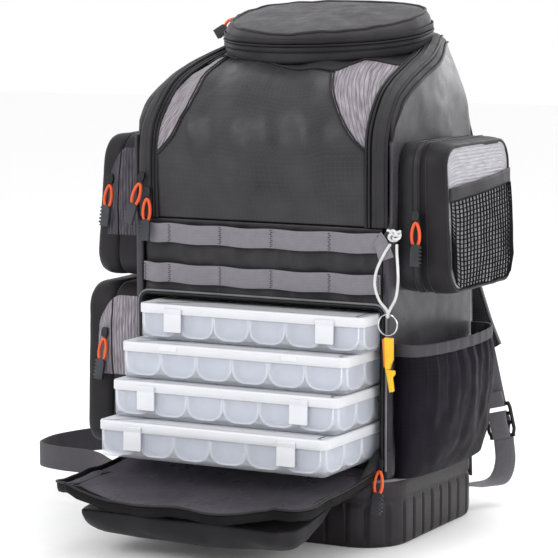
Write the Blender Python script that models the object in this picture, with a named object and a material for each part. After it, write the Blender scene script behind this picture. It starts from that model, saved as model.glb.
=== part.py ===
"""Tackle backpack: a zipped rucksack over a tray compartment, with four utility boxes drawn out in steps.

Frame: +X to the right seen from the front, the front faces -Y, +Z up, and the origin is at the middle of
the base's underside. All sizes are in metres.
"""

import math

import bmesh
import bpy
from mathutils import Vector

# ---------------------------------------------------------------- driving dimensions
GAP = 0.0004  # clearance between neighbouring pieces
WALL = 0.0045  # coated fabric with its foam lining

BODY_HALF_WIDTH = 0.155
BODY_FRONT = -0.110
BODY_BACK = 0.108
BASE_HEIGHT = 0.072
BASE_HALF_WIDTH = 0.164
BASE_FRONT = -0.130
BASE_BACK = 0.122
BASE_CORNER = 0.050
TACKLE_FLOOR_TOP = 0.0925
DIVIDER_BOTTOM = 0.2555
DIVIDER_TOP = 0.2615
OPENING_HALF_WIDTH = 0.1460
DOOR_HINGE_HEIGHT = 0.342
BACK_PANEL_THICKNESS = 0.012
FRONT_CORNER = -0.1035  # where a side wall turns in towards the tray opening
SIDE_LEAN_START = 0.400  # above this height the side walls draw in

# The bag's outline seen from the side, from the door's hinge up the front and over the shoulders to the
# back: depth, height, and half the width across the outer edges of the door's zip.
SHOULDER = (
    (-0.1120, 0.342, 0.1500),
    (-0.1125, 0.400, 0.1500),
    (-0.1080, 0.441, 0.1490),
    (-0.0830, 0.475, 0.1470),
    (-0.0530, 0.494, 0.1460),
    (-0.0100, 0.509, 0.1430),
    (0.0300, 0.520, 0.1380),
    (0.0700, 0.531, 0.1270),
    (0.1060, 0.541, 0.1150),
)
ZIP_WIDTH = 0.022
DOOR_CROWN = 0.016
DOOR_THICKNESS = 0.0035

TRAY_LENGTH = 0.275
TRAY_DEPTH = 0.180
TRAY_PITCH = 0.0395
TRAY_BOTTOM = 0.0934
TRAY_WALL = 0.0022
TRAY_CORNER = 0.008
TRAY_LIP = 0.0105
# Each box's front edge, its shift sideways, and whether its hinge side faces forward, from the top down.
TRAYS = ((-0.151, 0.0067, False), (-0.177, 0.0, True), (-0.197, 0.0, False), (-0.225, 0.0, False))
LATCH_SPREAD = 0.0925
LATCH_SIZE = (0.021, 0.0024, 0.026)

FLAP_HINGE = (-0.1135, 0.0805)


# ---------------------------------------------------------------- tools
SQUARE = ((-1, -1), (1, -1), (1, 1), (-1, 1))


def material(name, colour, roughness, metallic=0.0, alpha=1.0):
    mat = bpy.data.materials.get(name)
    if mat is None:
        mat = bpy.data.materials.new(name)
        mat.use_nodes = True
        shader = mat.node_tree.nodes["Principled BSDF"]
        shader.inputs["Base Color"].default_value = (*colour, 1.0)
        shader.inputs["Roughness"].default_value = roughness
        shader.inputs["Metallic"].default_value = metallic
        shader.inputs["Alpha"].default_value = alpha
        mat.diffuse_color = (*colour, alpha)
    return mat


def solid(name, points, faces, mat, origin=(0.0, 0.0, 0.0), smooth=40.0):
    """One closed body with its faces turned outward and its object's origin at the given place."""
    mesh = bpy.data.meshes.new(name)
    origin = Vector(origin)
    mesh.from_pydata([Vector(p) - origin for p in points], [], faces)
    bm = bmesh.new()
    bm.from_mesh(mesh)
    bmesh.ops.recalc_face_normals(bm, faces=bm.faces)
    if bm.calc_volume(signed=True) < 0:
        bmesh.ops.reverse_faces(bm, faces=bm.faces)
    bm.to_mesh(mesh)
    bm.free()
    mesh.shade_smooth()
    mesh.set_sharp_from_angle(angle=math.radians(smooth))
    obj = bpy.data.objects.new(name, mesh)
    obj.location = origin
    obj.data.materials.append(mat)
    bpy.context.collection.objects.link(obj)
    return obj


def loft(name, rings, mat, origin=(0.0, 0.0, 0.0)):
    """A closed body through rings of equally many points, with its first and last ring filled."""
    count = len(rings[0])
    points = [p for ring in rings for p in ring]
    faces = [list(range(count)), [len(points) - count + i for i in range(count)]]
    for r in range(len(rings) - 1):
        a, b = r * count, (r + 1) * count
        for i in range(count):
            j = (i + 1) % count
            faces.append([a + i, a + j, b + j, b + i])
    return solid(name, points, faces, mat, origin)


def skin(name, rows, thickness, mat, origin=(0.0, 0.0, 0.0)):
    """A sheet through rows of points, thickened to the side that its normals point away from."""
    across = len(rows[0])
    points = [p for row in rows for p in row]
    faces = []
    for r in range(len(rows) - 1):
        for c in range(across - 1):
            a = r * across + c
            faces.append([a, a + 1, a + across + 1, a + across])
    origin = Vector(origin)
    mesh = bpy.data.meshes.new(name)
    mesh.from_pydata([Vector(p) - origin for p in points], [], faces)
    mesh.shade_smooth()
    obj = bpy.data.objects.new(name, mesh)
    obj.location = origin
    obj.data.materials.append(mat)
    bpy.context.collection.objects.link(obj)
    thicken = obj.modifiers.new("Thickness", "SOLIDIFY")
    thicken.thickness = thickness
    thicken.offset = -1.0
    thicken.use_even_offset = False
    return obj


def block(name, low, high, mat, bevel=0.0, origin=(0.0, 0.0, 0.0)):
    """A box between two corners, with its edges rounded off."""
    points = [(x, y, z) for z in (low[2], high[2]) for y in (low[1], high[1]) for x in (low[0], high[0])]
    faces = [(0, 1, 3, 2), (4, 5, 7, 6), (0, 1, 5, 4), (2, 3, 7, 6), (0, 2, 6, 4), (1, 3, 7, 5)]
    obj = solid(name, points, faces, mat, origin)
    if bevel:
        rounding = obj.modifiers.new("Rounding", "BEVEL")
        rounding.width = bevel
        rounding.segments = 2
    return obj


def rounded_rectangle(x0, x1, y0, y1, radius, steps=3, inset=0.0):
    """The outline of a rectangle with round corners, counter-clockwise, drawn in by an inset."""
    radius -= inset
    outline = []
    for cx, cy, start in (
        (x1 - inset - radius, y0 + inset + radius, -90.0),
        (x1 - inset - radius, y1 - inset - radius, 0.0),
        (x0 + inset + radius, y1 - inset - radius, 90.0),
        (x0 + inset + radius, y0 + inset + radius, 180.0),
    ):
        for i in range(steps + 1):
            angle = math.radians(start + 90.0 * i / steps)
            outline.append((cx + radius * math.cos(angle), cy + radius * math.sin(angle)))
    return outline


def level(outline, z):
    return [(x, y, z) for x, y in outline]


def spline(points, count):
    """Points spread along a smooth curve through the given ones."""
    knots = [Vector(p) for p in points]
    knots = [2 * knots[0] - knots[1], *knots, 2 * knots[-1] - knots[-2]]
    spans = len(knots) - 3
    result = []
    for i in range(count):
        place = spans * i / (count - 1)
        k = min(int(place), spans - 1)
        t = place - k
        a, b, c, d = knots[k : k + 4]
        result.append(
            0.5 * (2 * b + (c - a) * t + (2 * a - 5 * b + 4 * c - d) * t * t + (3 * b - a - 3 * c + d) * t**3)
        )
    return result


def ribbon(name, path, widths, thickness, across, mat, origin=(0.0, 0.0, 0.0)):
    """A flat strap along a path. across(i) is its width direction at point i."""
    rings = []
    for i, centre in enumerate(path):
        ahead = path[min(i + 1, len(path) - 1)] - path[max(i - 1, 0)]
        side = Vector(across(i))
        side = (side - ahead * (side.dot(ahead) / ahead.length_squared)).normalized()
        face = side.cross(ahead).normalized()
        w, t = side * widths[i] / 2, face * thickness / 2
        rings.append([centre - w - t, centre + w - t, centre + w + t, centre - w + t])
    return loft(name, rings, mat, origin)


# ---------------------------------------------------------------- the bag's outer surface
class Shoulder:
    """The door's and its zip's curved surface, by station along the side outline and by distance sideways."""

    def __init__(self, stations):
        self.line = spline(SHOULDER, stations)
        self.stations = stations

    def half_width(self, i):
        return self.line[i][2]

    def outward(self, i):
        ahead = self.line[min(i + 1, self.stations - 1)] - self.line[max(i - 1, 0)]
        return Vector((0.0, -ahead[1], ahead[0])).normalized()

    def crown(self, i, x):
        """How far the padded door stands out of the flat between its edges."""
        rise = min(1.0, (self.line[i][1] - DOOR_HINGE_HEIGHT) / 0.080)
        across = min(1.0, abs(x) / (self.half_width(i) - ZIP_WIDTH))
        return DOOR_CROWN * rise * rise * (3 - 2 * rise) * (1 - across * across)

    def point(self, i, x, lift=0.0):
        y, z, _ = self.line[i]
        return Vector((x, y, z)) + self.outward(i) * (self.crown(i, x) + lift)

    def at_depth(self, y):
        """The height and half width of the side outline where it passes a depth on its way back."""
        for a, b in zip(self.line, self.line[1:]):
            if b[0] >= y > a[0]:
                return a.lerp(b, (y - a[0]) / (b[0] - a[0]))
        return self.line[-1] if y > self.line[-1][0] else self.line[0]


# ---------------------------------------------------------------- materials
RUBBER = material("moulded_rubber", (0.045, 0.038, 0.042), 0.75)
COATED = material("coated_fabric", (0.075, 0.074, 0.084), 0.48)
RIPSTOP = material("ripstop_fabric", (0.050, 0.050, 0.057), 0.55)
HEATHER = material("heather_fabric", (0.42, 0.38, 0.43), 0.85)
MESH = material("net_fabric", (0.030, 0.030, 0.033), 0.80)
WEBBING = material("webbing", (0.20, 0.19, 0.205), 0.80)
ZIP_TAPE = material("zip_tape", (0.022, 0.022, 0.024), 0.70)
LINING = material("lining_fabric", (0.070, 0.062, 0.076), 0.60)
FOAM = material("foam_board", (0.040, 0.040, 0.044), 0.85)
FROSTED = material("frosted_polypropylene", (0.84, 0.85, 0.90), 0.35, alpha=0.6)
GRIP = material("moulded_grip", (0.050, 0.052, 0.056), 0.60)
CORD_WHITE = material("white_cord", (0.85, 0.85, 0.84), 0.80)
STEEL = material("bright_steel", (0.75, 0.75, 0.76), 0.25, metallic=1.0)
YELLOW = material("yellow_plastic", (0.95, 0.58, 0.02), 0.40)
PADDING = material("strap_padding", (0.065, 0.066, 0.072), 0.75)
BUCKLE = material("black_acetal", (0.025, 0.025, 0.027), 0.35)


# ---------------------------------------------------------------- the bag's frame and walls
def make_base():
    rim, floor, edge = 0.006, 0.006, 0.003

    def outline(inset):
        sides = (-BASE_HALF_WIDTH, BASE_HALF_WIDTH, BASE_FRONT, BASE_BACK)
        return rounded_rectangle(*sides, BASE_CORNER, 5, inset)

    rings = [level(outline(edge), 0.0), level(outline(0.0), edge), level(outline(0.0), BASE_HEIGHT)]
    rings += [level(outline(rim), BASE_HEIGHT), level(outline(rim), floor)]
    loft("base_tub", rings, RUBBER)
    board = rounded_rectangle(-0.1490, 0.1490, BODY_FRONT + 0.004, BODY_BACK - 0.0005, 0.012, 2)
    loft("tackle_floor", [level(board, BASE_HEIGHT + GAP), level(board, TACKLE_FLOOR_TOP)], FOAM)
    board = rounded_rectangle(-0.1480, 0.1480, BODY_FRONT + 0.004, BODY_BACK - 0.0005, 0.012, 2)
    loft("compartment_divider", [level(board, DIVIDER_BOTTOM), level(board, DIVIDER_TOP)], FOAM)


def make_back_panel():
    half = [(0.152, BASE_HEIGHT + GAP), (0.152, 0.425), (0.139, 0.471), (0.124, 0.504), (0.111, 0.528)]
    half += [(0.096, 0.541), (0.070, 0.547)]
    outline = half + [(-x, z) for x, z in reversed(half)]
    front, back = BODY_BACK + GAP, BODY_BACK + GAP + BACK_PANEL_THICKNESS
    loft("back_panel", [[(x, y, z) for x, z in outline] for y in (front, back)], PADDING)


def side_width(height, top, top_width):
    """Half the bag's width at a height: straight below, and drawn in towards the shoulder's edge."""
    if height <= SIDE_LEAN_START:
        return BODY_HALF_WIDTH
    rise = min(1.0, (height - SIDE_LEAN_START) / (top - SIDE_LEAN_START))
    return BODY_HALF_WIDTH - (BODY_HALF_WIDTH - top_width) * rise**1.6


UNDER_ZIP = 0.0095  # how far a side wall's top edge stops below the door's zip
BESIDE_ZIP = 0.0056  # how far it stands outside the zip there


def make_side_panel(name, side):
    """A side wall, from the front corner round to the back panel and up to the door's zip."""
    shoulder = Shoulder(41)
    depths = (FRONT_CORNER, -0.092, -0.070, -0.040, -0.005, 0.035, 0.072, BODY_BACK - 0.0005)
    levels = (0.0, 0.30, 0.56, 0.68, 0.78, 0.87, 0.94, 1.0)
    low = BASE_HEIGHT + GAP
    beside_opening = ((OPENING_HALF_WIDTH + 0.0008, BODY_FRONT), (0.1525, -0.1085))
    beside_door = ((0.1548, -0.1080), (0.1556, -0.1055))
    rows = []
    for share in levels:
        row = []
        for y in depths:
            _, top, top_width = SHOULDER[2] if y == FRONT_CORNER else shoulder.at_depth(y)
            top -= UNDER_ZIP
            z = low + (top - low) * share
            row.append((side_width(z, top, top_width + BESIDE_ZIP) * side, y, z))
        z = row[0][2]
        edge = beside_door if z > DOOR_HINGE_HEIGHT else beside_opening
        rows.append([(x * side, y, z) for x, y in edge] + row)
    if side < 0:
        rows = [row[::-1] for row in rows]
    return skin(name, rows, WALL, COATED)


def make_front_band():
    half = OPENING_HALF_WIDTH - 0.0015
    low = (-half, BODY_FRONT - 0.0005, DIVIDER_BOTTOM - 0.001)
    high = (half, BODY_FRONT + 0.0035, DOOR_HINGE_HEIGHT - 0.0018)
    block("front_band", low, high, COATED)
    for name, bottom in (("molle_strap_upper", 0.3130), ("molle_strap_lower", 0.2690)):
        low = (-0.1450, BODY_FRONT - 0.0034, bottom)
        high = (0.1450, BODY_FRONT - 0.0009, bottom + 0.0235)
        block(name, low, high, WEBBING)


def make_opening_zip():
    """The tray compartment's zip: up one side of the opening, along its top edge and down the other."""
    inner, outer, low, high = 0.1452, 0.1518, 0.0830, 0.2668
    top = 0.2572
    arch = [(inner, low), (outer, low), (outer, high - 0.012), (outer - 0.012, high)]
    arch += [(-outer + 0.012, high), (-outer, high - 0.012), (-outer, low), (-inner, low)]
    arch += [(-inner, top - 0.003), (-inner + 0.003, top), (inner - 0.003, top), (inner, top - 0.003)]
    front, back = BODY_FRONT - 0.0034, BODY_FRONT - 0.0012
    loft("tray_opening_zip", [[(x, y, z) for x, z in arch] for y in (front, back)], ZIP_TAPE)


# ---------------------------------------------------------------- the door and the pocket on its top
def make_door():
    shoulder = Shoulder(17)
    rows = []
    for i in range(shoulder.stations):
        half = shoulder.half_width(i) - ZIP_WIDTH - GAP
        rows.append([shoulder.point(i, half * t) for t in (-1, -0.75, -0.45, -0.15, 0.15, 0.45, 0.75, 1)])
    hinge = (0.0, SHOULDER[0][0] + 0.001, DOOR_HINGE_HEIGHT)
    skin("door_shell", rows, DOOR_THICKNESS, RIPSTOP, hinge)
    for name, side in (("door_zip_left", -1), ("door_zip_right", 1)):
        rows = []
        for i in range(shoulder.stations):
            outer = shoulder.half_width(i)
            edges = (outer - ZIP_WIDTH + GAP, outer - ZIP_WIDTH / 2, outer)
            drops = (0.0, -0.0008, -0.0030)
            row = [shoulder.point(i, side * x, drop) for x, drop in zip(edges, drops)]
            rows.append(row if side > 0 else row[::-1])
        skin(name, rows, 0.0026, ZIP_TAPE)


LID_CENTRE = 0.045
LID_FRONT = -0.060
LID_BACK = 0.1045
LID_HALF_WIDTH = 0.117
LID_RIM_ANGLES = 28


def lid_outline(inset=0.0):
    """The top pocket seen from above: a round front and a fuller, nearly straight back."""
    outline = []
    for k in range(LID_RIM_ANGLES):
        angle = 2 * math.pi * k / LID_RIM_ANGLES
        c, s = math.cos(angle), math.sin(angle)
        power, depth = (1.85, LID_CENTRE - LID_FRONT) if s < 0 else (4.2, LID_BACK - LID_CENTRE)
        x = (LID_HALF_WIDTH - inset) * math.copysign(abs(c) ** (2 / power), c)
        y = LID_CENTRE + (depth - inset) * math.copysign(abs(s) ** (2 / power), s)
        outline.append((x, y))
    return outline


def door_top(shoulder, x, y):
    """The height of the door's outer surface above a place on its top."""
    line = shoulder.line
    for i in range(len(line) - 1):
        a, b = shoulder.point(i, x), shoulder.point(i + 1, x)
        if b.y >= y >= a.y and line[i][1] > 0.46:
            return a.z + (b.z - a.z) * (y - a.y) / (b.y - a.y)
    return shoulder.point(len(line) - 1, x).z


def lid_seam(x, y):
    """The height of the top pocket's zip above a place."""
    return 0.5300 + 0.155 * (y - LID_FRONT) - 0.35 * x * x


def shrunk(outline, share):
    return [(share * p[0], LID_CENTRE + share * (p[1] - LID_CENTRE)) for p in outline]


def make_lid_pocket():
    """The pocket's floor and rim, which are sewn to the door, and its lid, hinged along the back."""
    shoulder = Shoulder(61)
    outline = lid_outline()

    def over_door(share, lift):
        return [(x, y, door_top(shoulder, x, y) + lift) for x, y in shrunk(outline, share)]

    rim = [(x, y, max(lid_seam(x, y), door_top(shoulder, x, y) + 0.0085)) for x, y in outline]
    inner_rim = [(x, y, z) for (x, y), (_, _, z) in zip(shrunk(outline, 0.97), rim)]
    under, floor = 0.0028, 0.0060
    rings = [over_door(share, under) for share in (0.1, 0.35, 0.6, 0.8, 0.92, 1.0)]
    rings += [rim, inner_rim]
    rings += [over_door(share, floor) for share in (0.94, 0.8, 0.6, 0.35, 0.1)]
    loft("lid_pocket_body", rings, COATED)
    shell, wall = [], 0.003
    for share, rise in ((0.15, 1.0), (0.45, 1.0), (0.78, 0.96), (0.93, 0.78), (0.985, 0.45), (1.0, 0.0)):
        ring = []
        for (x, y), (_, _, z) in zip(shrunk(outline, share), rim):
            top = 0.5430 + 0.215 * (y - LID_FRONT) - 0.15 * x * x
            ring.append((x, y, z + GAP + (max(top, z + 0.006) - z) * rise))
        shell.append(ring)
    lining = [[(x, y, z - wall) for (x, y), (_, _, z) in zip(shrunk(r, 0.965), r)] for r in shell]
    lining[-1] = [(x, y, z + wall) for x, y, z in lining[-1]]
    hinge = (0.0, LID_BACK, lid_seam(0.0, LID_BACK))
    loft("lid_pocket_cover", shell + lining[::-1], COATED, hinge)


# ---------------------------------------------------------------- the utility boxes
def make_tray(number, front, shift, turned):
    """A box, its lid and its two latches. A turned box has its hinge side forward and its latches behind."""
    bottom = TRAY_BOTTOM + TRAY_PITCH * (len(TRAYS) - number)
    top = bottom + TRAY_PITCH - GAP
    x0, x1 = shift - TRAY_LENGTH / 2, shift + TRAY_LENGTH / 2
    y0, y1 = front, front + TRAY_DEPTH
    inset, plate = 0.0016, 0.0018

    def outline(drawn_in):
        return rounded_rectangle(x0, x1, y0, y1, TRAY_CORNER + inset, 2, drawn_in)

    outer, inner, hollow = outline(inset), outline(inset + TRAY_WALL), outline(inset - GAP)
    rim = top - plate - GAP
    rings = [level(outer, bottom), level(outer, rim), level(inner, rim), level(inner, bottom + TRAY_WALL)]
    loft(f"tray_{number}_base", rings, FROSTED, (shift, front, bottom))
    rings = [level(outline(0.0), top), level(outline(0.0), top - TRAY_LIP)]
    rings += [level(hollow, top - TRAY_LIP), level(hollow, top - plate)]
    loft(f"tray_{number}_lid", rings, FROSTED, (shift, front, top))
    width, depth, height = LATCH_SIZE
    hinge_height = top - 0.0050
    outward_sign = 1.0 if turned else -1.0
    face = y1 if turned else y0
    for word, side in (("left", -1), ("right", 1)):
        x = shift + side * LATCH_SPREAD
        near, far = face + outward_sign * GAP, face + outward_sign * (GAP + depth)
        low = (x - width / 2, min(near, far), hinge_height - height + 0.0010)
        high = (x + width / 2, max(near, far), hinge_height + 0.0010)
        pivot = (x, face + outward_sign * (GAP + depth / 2), hinge_height)
        block(f"tray_{number}_latch_{word}", low, high, FROSTED, 0.0005, pivot)


# ---------------------------------------------------------------- the tray compartment's flap
FLAP_STATIONS = (
    (-0.1135, 0.0805, 0.1400),
    (-0.1310, 0.0785, 0.1410),
    (-0.1600, 0.0705, 0.1420),
    (-0.2000, 0.0630, 0.1425),
    (-0.2400, 0.0580, 0.1425),
    (-0.2750, 0.0560, 0.1430),
    (-0.2960, 0.0575, 0.1380),
    (-0.3070, 0.0600, 0.1200),
)
FLAP_THICKNESS = 0.0045
FLAP_CORNER_RISE = 0.013


def flap_surface(station, share):
    """A point on the flap's upper side; its side edges curl up towards the tip."""
    y, z, half = station
    curl = FLAP_CORNER_RISE * min(1.0, max(0.0, (-0.130 - y) / 0.100)) * abs(share) ** 3
    return (half * share, y, z + curl)


def make_flap():
    hinge = (0.0, *FLAP_HINGE)
    shares = (-1, -0.85, -0.6, -0.2, 0.2, 0.6, 0.85, 1)
    rows = [[flap_surface(station, share) for share in shares] for station in FLAP_STATIONS]
    skin("tray_flap", [row[::-1] for row in rows], FLAP_THICKNESS, LINING, hinge)
    drop = FLAP_THICKNESS + 0.0022
    pocket = (
        (-0.1500, 0.112, 0.006),
        (-0.1750, 0.120, 0.020),
        (-0.2100, 0.126, 0.030),
        (-0.2450, 0.128, 0.034),
        (-0.2700, 0.126, 0.031),
        (-0.2900, 0.116, 0.016),
    )
    rings = []
    for y, half, depth in pocket:
        before = next(s for s in FLAP_STATIONS[::-1] if s[0] >= y)
        after = next(s for s in FLAP_STATIONS if s[0] <= y)
        t = 0.0 if before is after else (y - before[0]) / (after[0] - before[0])
        z = before[1] + (after[1] - before[1]) * t - drop
        narrow, middle = half * 0.90, z - depth * 0.5
        section = [(half, z), (half, middle), (narrow, z - depth)]
        ring = [(x, y, height) for x, height in section]
        rings.append(ring + [(-x, y, height) for x, height in section[::-1]])
    loft("flap_pocket", rings, RIPSTOP, hinge)


# ---------------------------------------------------------------- pockets on the sides
def side_pocket(name, side, low, high, front, back, depth, split, colours):
    """A box pocket open on its outer side, and its cover, which is hinged along its back edge.

    depth is how far the pocket stands out at its top and at its bottom, and split is where its zip runs.
    """
    wall = 0.0035
    start = BODY_HALF_WIDTH + GAP + 0.0002
    radius = 0.022

    def ring(x, inset):
        outline = rounded_rectangle(front, back, low, high, radius, 2, inset)
        return [(side * x(z), y, z) for y, z in outline]

    def at(share):
        return lambda z: start + share * (depth[1] + (depth[0] - depth[1]) * (z - low) / (high - low))

    body = [ring(at(0.0), 0.0), ring(at(split), 0.0), ring(at(split), wall)]
    body.append(ring(lambda z: start + wall, wall))
    loft(name, body, colours[0])
    crown_inset = 0.014

    def past(share):
        line = at(share)
        return lambda z: line(z) + GAP

    cover = [ring(at(1.0), crown_inset), ring(at(0.93), 0.003)]
    cover += [ring(past(split), 0.0), ring(past(split), wall)]
    cover.append(ring(lambda z: at(0.93)(z) - wall, 0.003 + wall))
    cover.append(ring(lambda z: at(1.0)(z) - wall, crown_inset + wall))
    pivot = (side * (start + split * min(depth)), back, (low + high) / 2)
    loft(name + "_cover", cover, colours[1], pivot)


def make_side_pockets():
    dark, pale = (COATED, MESH), (COATED, HEATHER)
    side_pocket("right_pouch", 1, 0.2720, 0.4300, -0.090, 0.082, (0.052, 0.060), 0.42, dark)
    side_pocket("left_upper_pocket", -1, 0.2740, 0.4270, -0.092, 0.080, (0.050, 0.062), 0.55, pale)
    side_pocket("left_lower_pocket", -1, 0.0780, 0.2600, -0.095, 0.085, (0.070, 0.074), 0.55, pale)


def bottle_outline(reach, inset, front=-0.100, back=0.104, steps=9):
    """The bottle pocket seen from above: flat against the bag and bulging outward."""
    near = BODY_HALF_WIDTH + GAP + 0.0002 + inset
    outline = [(near, back - inset), (near, front + inset)]
    for k in range(steps + 1):
        angle = math.pi * k / steps
        y = (front + back) / 2 - (back - front - 2 * inset) / 2 * math.cos(angle)
        x = near + (reach - 2 * inset) * (0.30 + 0.70 * math.sin(angle) ** 0.8)
        outline.append((x, y))
    return outline


def make_bottle_pocket():
    wall = 0.003
    levels = ((BASE_HEIGHT + 0.0015, 0.026), (0.105, 0.040), (0.155, 0.047), (0.2155, 0.046))
    rings = [level(bottle_outline(reach, 0.0), z) for z, reach in levels]
    rings += [level(bottle_outline(reach, wall), z) for z, reach in levels[::-1]]
    rings[-1] = level(bottle_outline(levels[0][1], wall), levels[0][0] + wall)
    loft("bottle_pocket", rings, MESH)


# ---------------------------------------------------------------- straps
STRAP_ROUTE = (
    (0.052, 0.1330, 0.4700),
    (0.056, 0.1500, 0.4700),
    (0.064, 0.1660, 0.4460),
    (0.074, 0.1750, 0.4000),
    (0.086, 0.1760, 0.3400),
    (0.100, 0.1740, 0.2700),
    (0.122, 0.1720, 0.2100),
    (0.144, 0.1710, 0.1720),
)
STRAP_WIDTHS = (0.058, 0.062, 0.066, 0.066, 0.062, 0.058, 0.054, 0.044)
STRAP_THICKNESS = 0.012
WEB_ROUTE = (
    (0.1715, 0.1660, 0.0730),
    (0.1745, 0.1620, 0.0480),
    (0.1710, 0.1500, 0.0290),
    (0.1570, 0.1265, 0.0260),
)
WEB_WIDTH = 0.025
HANDLE_ROUTE = (
    (0.0560, 0.1240, 0.5160),
    (0.0555, 0.1400, 0.5180),
    (0.0400, 0.1560, 0.5210),
    (0.0, 0.1610, 0.5230),
)
HANDLE_WIDTH = 0.024
BELT_WIDTH = 0.028
BELT_LEFT_ROUTE = (
    (-0.1480, 0.1250, 0.0480),
    (-0.2000, 0.1290, 0.0470),
    (-0.2600, 0.1140, 0.0460),
    (-0.3190, 0.0800, 0.0460),
    (-0.3520, 0.0350, 0.0430),
    (-0.3560, 0.0020, 0.0410),
    (-0.3380, -0.0300, 0.0430),
    (-0.2950, -0.0580, 0.0470),
    (-0.2300, -0.0850, 0.0520),
    (-0.1850, -0.1180, 0.0510),
    (-0.1450, -0.1340, 0.0480),
    (-0.1100, -0.1370, 0.0450),
)
BELT_RIGHT_ROUTE = (
    (0.1480, 0.1250, 0.0500),
    (0.1250, 0.1420, 0.0480),
    (0.0900, 0.1560, 0.0400),
    (0.0400, 0.1600, 0.0330),
    (-0.0200, 0.1540, 0.0300),
    (-0.0800, 0.1440, 0.0310),
)


def mirrored(points, side):
    return [(side * x, y, z) for x, y, z in points]


def make_straps():
    for word, side in (("left", -1), ("right", 1)):
        path = spline(mirrored(STRAP_ROUTE, side), 13)
        widths = [w[0] for w in spline([(w, 0, 0) for w in STRAP_WIDTHS], 13)]
        ribbon(f"shoulder_strap_{word}", path, widths, STRAP_THICKNESS, lambda i: (1, 0, 0), PADDING)
        path = spline(mirrored(WEB_ROUTE, side), 9)
        ribbon(f"strap_webbing_{word}", path, [WEB_WIDTH] * 9, 0.002, lambda i: (1, 0, 0), WEBBING)
        make_adjuster(f"strap_adjuster_{word}", side)
    path = spline(mirrored(HANDLE_ROUTE, -1) + mirrored(HANDLE_ROUTE[-2::-1], 1), 15)
    ribbon("grab_handle", path, [HANDLE_WIDTH] * 15, 0.004, lambda i: (0, 0, 1), WEBBING)
    for word, route, count in (("left", BELT_LEFT_ROUTE, 23), ("right", BELT_RIGHT_ROUTE, 11)):
        path = spline(route, count)
        ribbon(f"waist_belt_{word}", path, [BELT_WIDTH] * count, 0.003, lambda i: (0, 0, 1), WEBBING)


def make_adjuster(name, side):
    """The ladder-lock buckle between the padded strap and its webbing."""
    top, bottom = Vector((0.1480 * side, 0.1700, 0.1620)), Vector((0.1700 * side, 0.1660, 0.0750))
    path = [top.lerp(bottom, t) for t in (0.05, 0.55, 0.60, 0.80, 1.0)]
    widths = (0.022, 0.022, 0.033, 0.034, 0.031)
    thick = (0.003, 0.003, 0.007, 0.007, 0.005)
    rings = []
    for centre, width, depth in zip(path, widths, thick):
        w, t = Vector((width / 2, 0, 0)), Vector((0, depth / 2, 0))
        rings.append([centre - w - t, centre + w - t, centre + w + t, centre - w + t])
    loft(name, rings, BUCKLE)


# ---------------------------------------------------------------- the lanyard
LANYARD_DIAMETER = 0.0030
LANYARD_ROUTE = (
    (0.1600, -0.1205, 0.3265),
    (0.1520, -0.1195, 0.3150),
    (0.1440, -0.1200, 0.2980),
    (0.1425, -0.1210, 0.2820),
    (0.1480, -0.1215, 0.2670),
    (0.1560, -0.1215, 0.2580),
    (0.1595, -0.1235, 0.2520),
    (0.1605, -0.1268, 0.2505),
    (0.1615, -0.1300, 0.2525),
    (0.1660, -0.1325, 0.2600),
    (0.1725, -0.1330, 0.2720),
    (0.1745, -0.1320, 0.2880),
    (0.1730, -0.1295, 0.3030),
    (0.1700, -0.1255, 0.3180),
    (0.1680, -0.1215, 0.3265),
)
RING_CENTRE = (0.1605, -0.1268, 0.2422)
RING_RADIUS = 0.0110
RING_WIRE = 0.0008


def tube(name, route, diameter, count, mat):
    curve = bpy.data.curves.new(name, "CURVE")
    curve.dimensions = "3D"
    line = curve.splines.new("POLY")
    points = spline(route, count)
    line.points.add(len(points) - 1)
    for point, place in zip(line.points, points):
        point.co = (*place, 1.0)
    curve.bevel_depth = diameter / 2
    curve.bevel_resolution = 2
    curve.use_fill_caps = True
    obj = bpy.data.objects.new(name, curve)
    obj.data.materials.append(mat)
    bpy.context.collection.objects.link(obj)
    return obj


def make_lanyard():
    tube("lanyard_cord", LANYARD_ROUTE, LANYARD_DIAMETER, 36, CORD_WHITE)
    block("lanyard_knot", (0.1560, -0.1250, 0.3290), (0.1720, -0.1130, 0.3420), CORD_WHITE, 0.003)
    x, y, z = RING_CENTRE
    rings_around, sides = 20, 6
    points, faces = [], []
    for a in range(rings_around):
        angle = 2 * math.pi * a / rings_around
        for b in range(sides):
            turn = 2 * math.pi * b / sides
            reach = RING_RADIUS + RING_WIRE * math.cos(turn)
            place = (x + reach * math.cos(angle), y + RING_WIRE * math.sin(turn), z + reach * math.sin(angle))
            points.append(place)
    for a in range(rings_around):
        for b in range(sides):
            c, d = (a + 1) % rings_around, (b + 1) % sides
            faces.append([a * sides + b, c * sides + b, c * sides + d, a * sides + d])
    solid("split_ring", points, faces, STEEL)
    stations = (
        (0.2290, 0.0040, 0.0020, 0.0),
        (0.2240, 0.0050, 0.0030, 0.0),
        (0.2220, 0.0055, 0.0042, 0.0),
        (0.2010, 0.0055, 0.0042, -0.0005),
        (0.1960, 0.0075, 0.0045, 0.0010),
        (0.1900, 0.0075, 0.0045, 0.0015),
        (0.1860, 0.0050, 0.0035, 0.0005),
        (0.1710, 0.0042, 0.0030, 0.0025),
    )
    rings = []
    for height, half, thick, shift in stations:
        rings.append([(x + shift + a * half, y + b * thick, height) for a, b in SQUARE])
    loft("line_clipper", rings, YELLOW)


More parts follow.
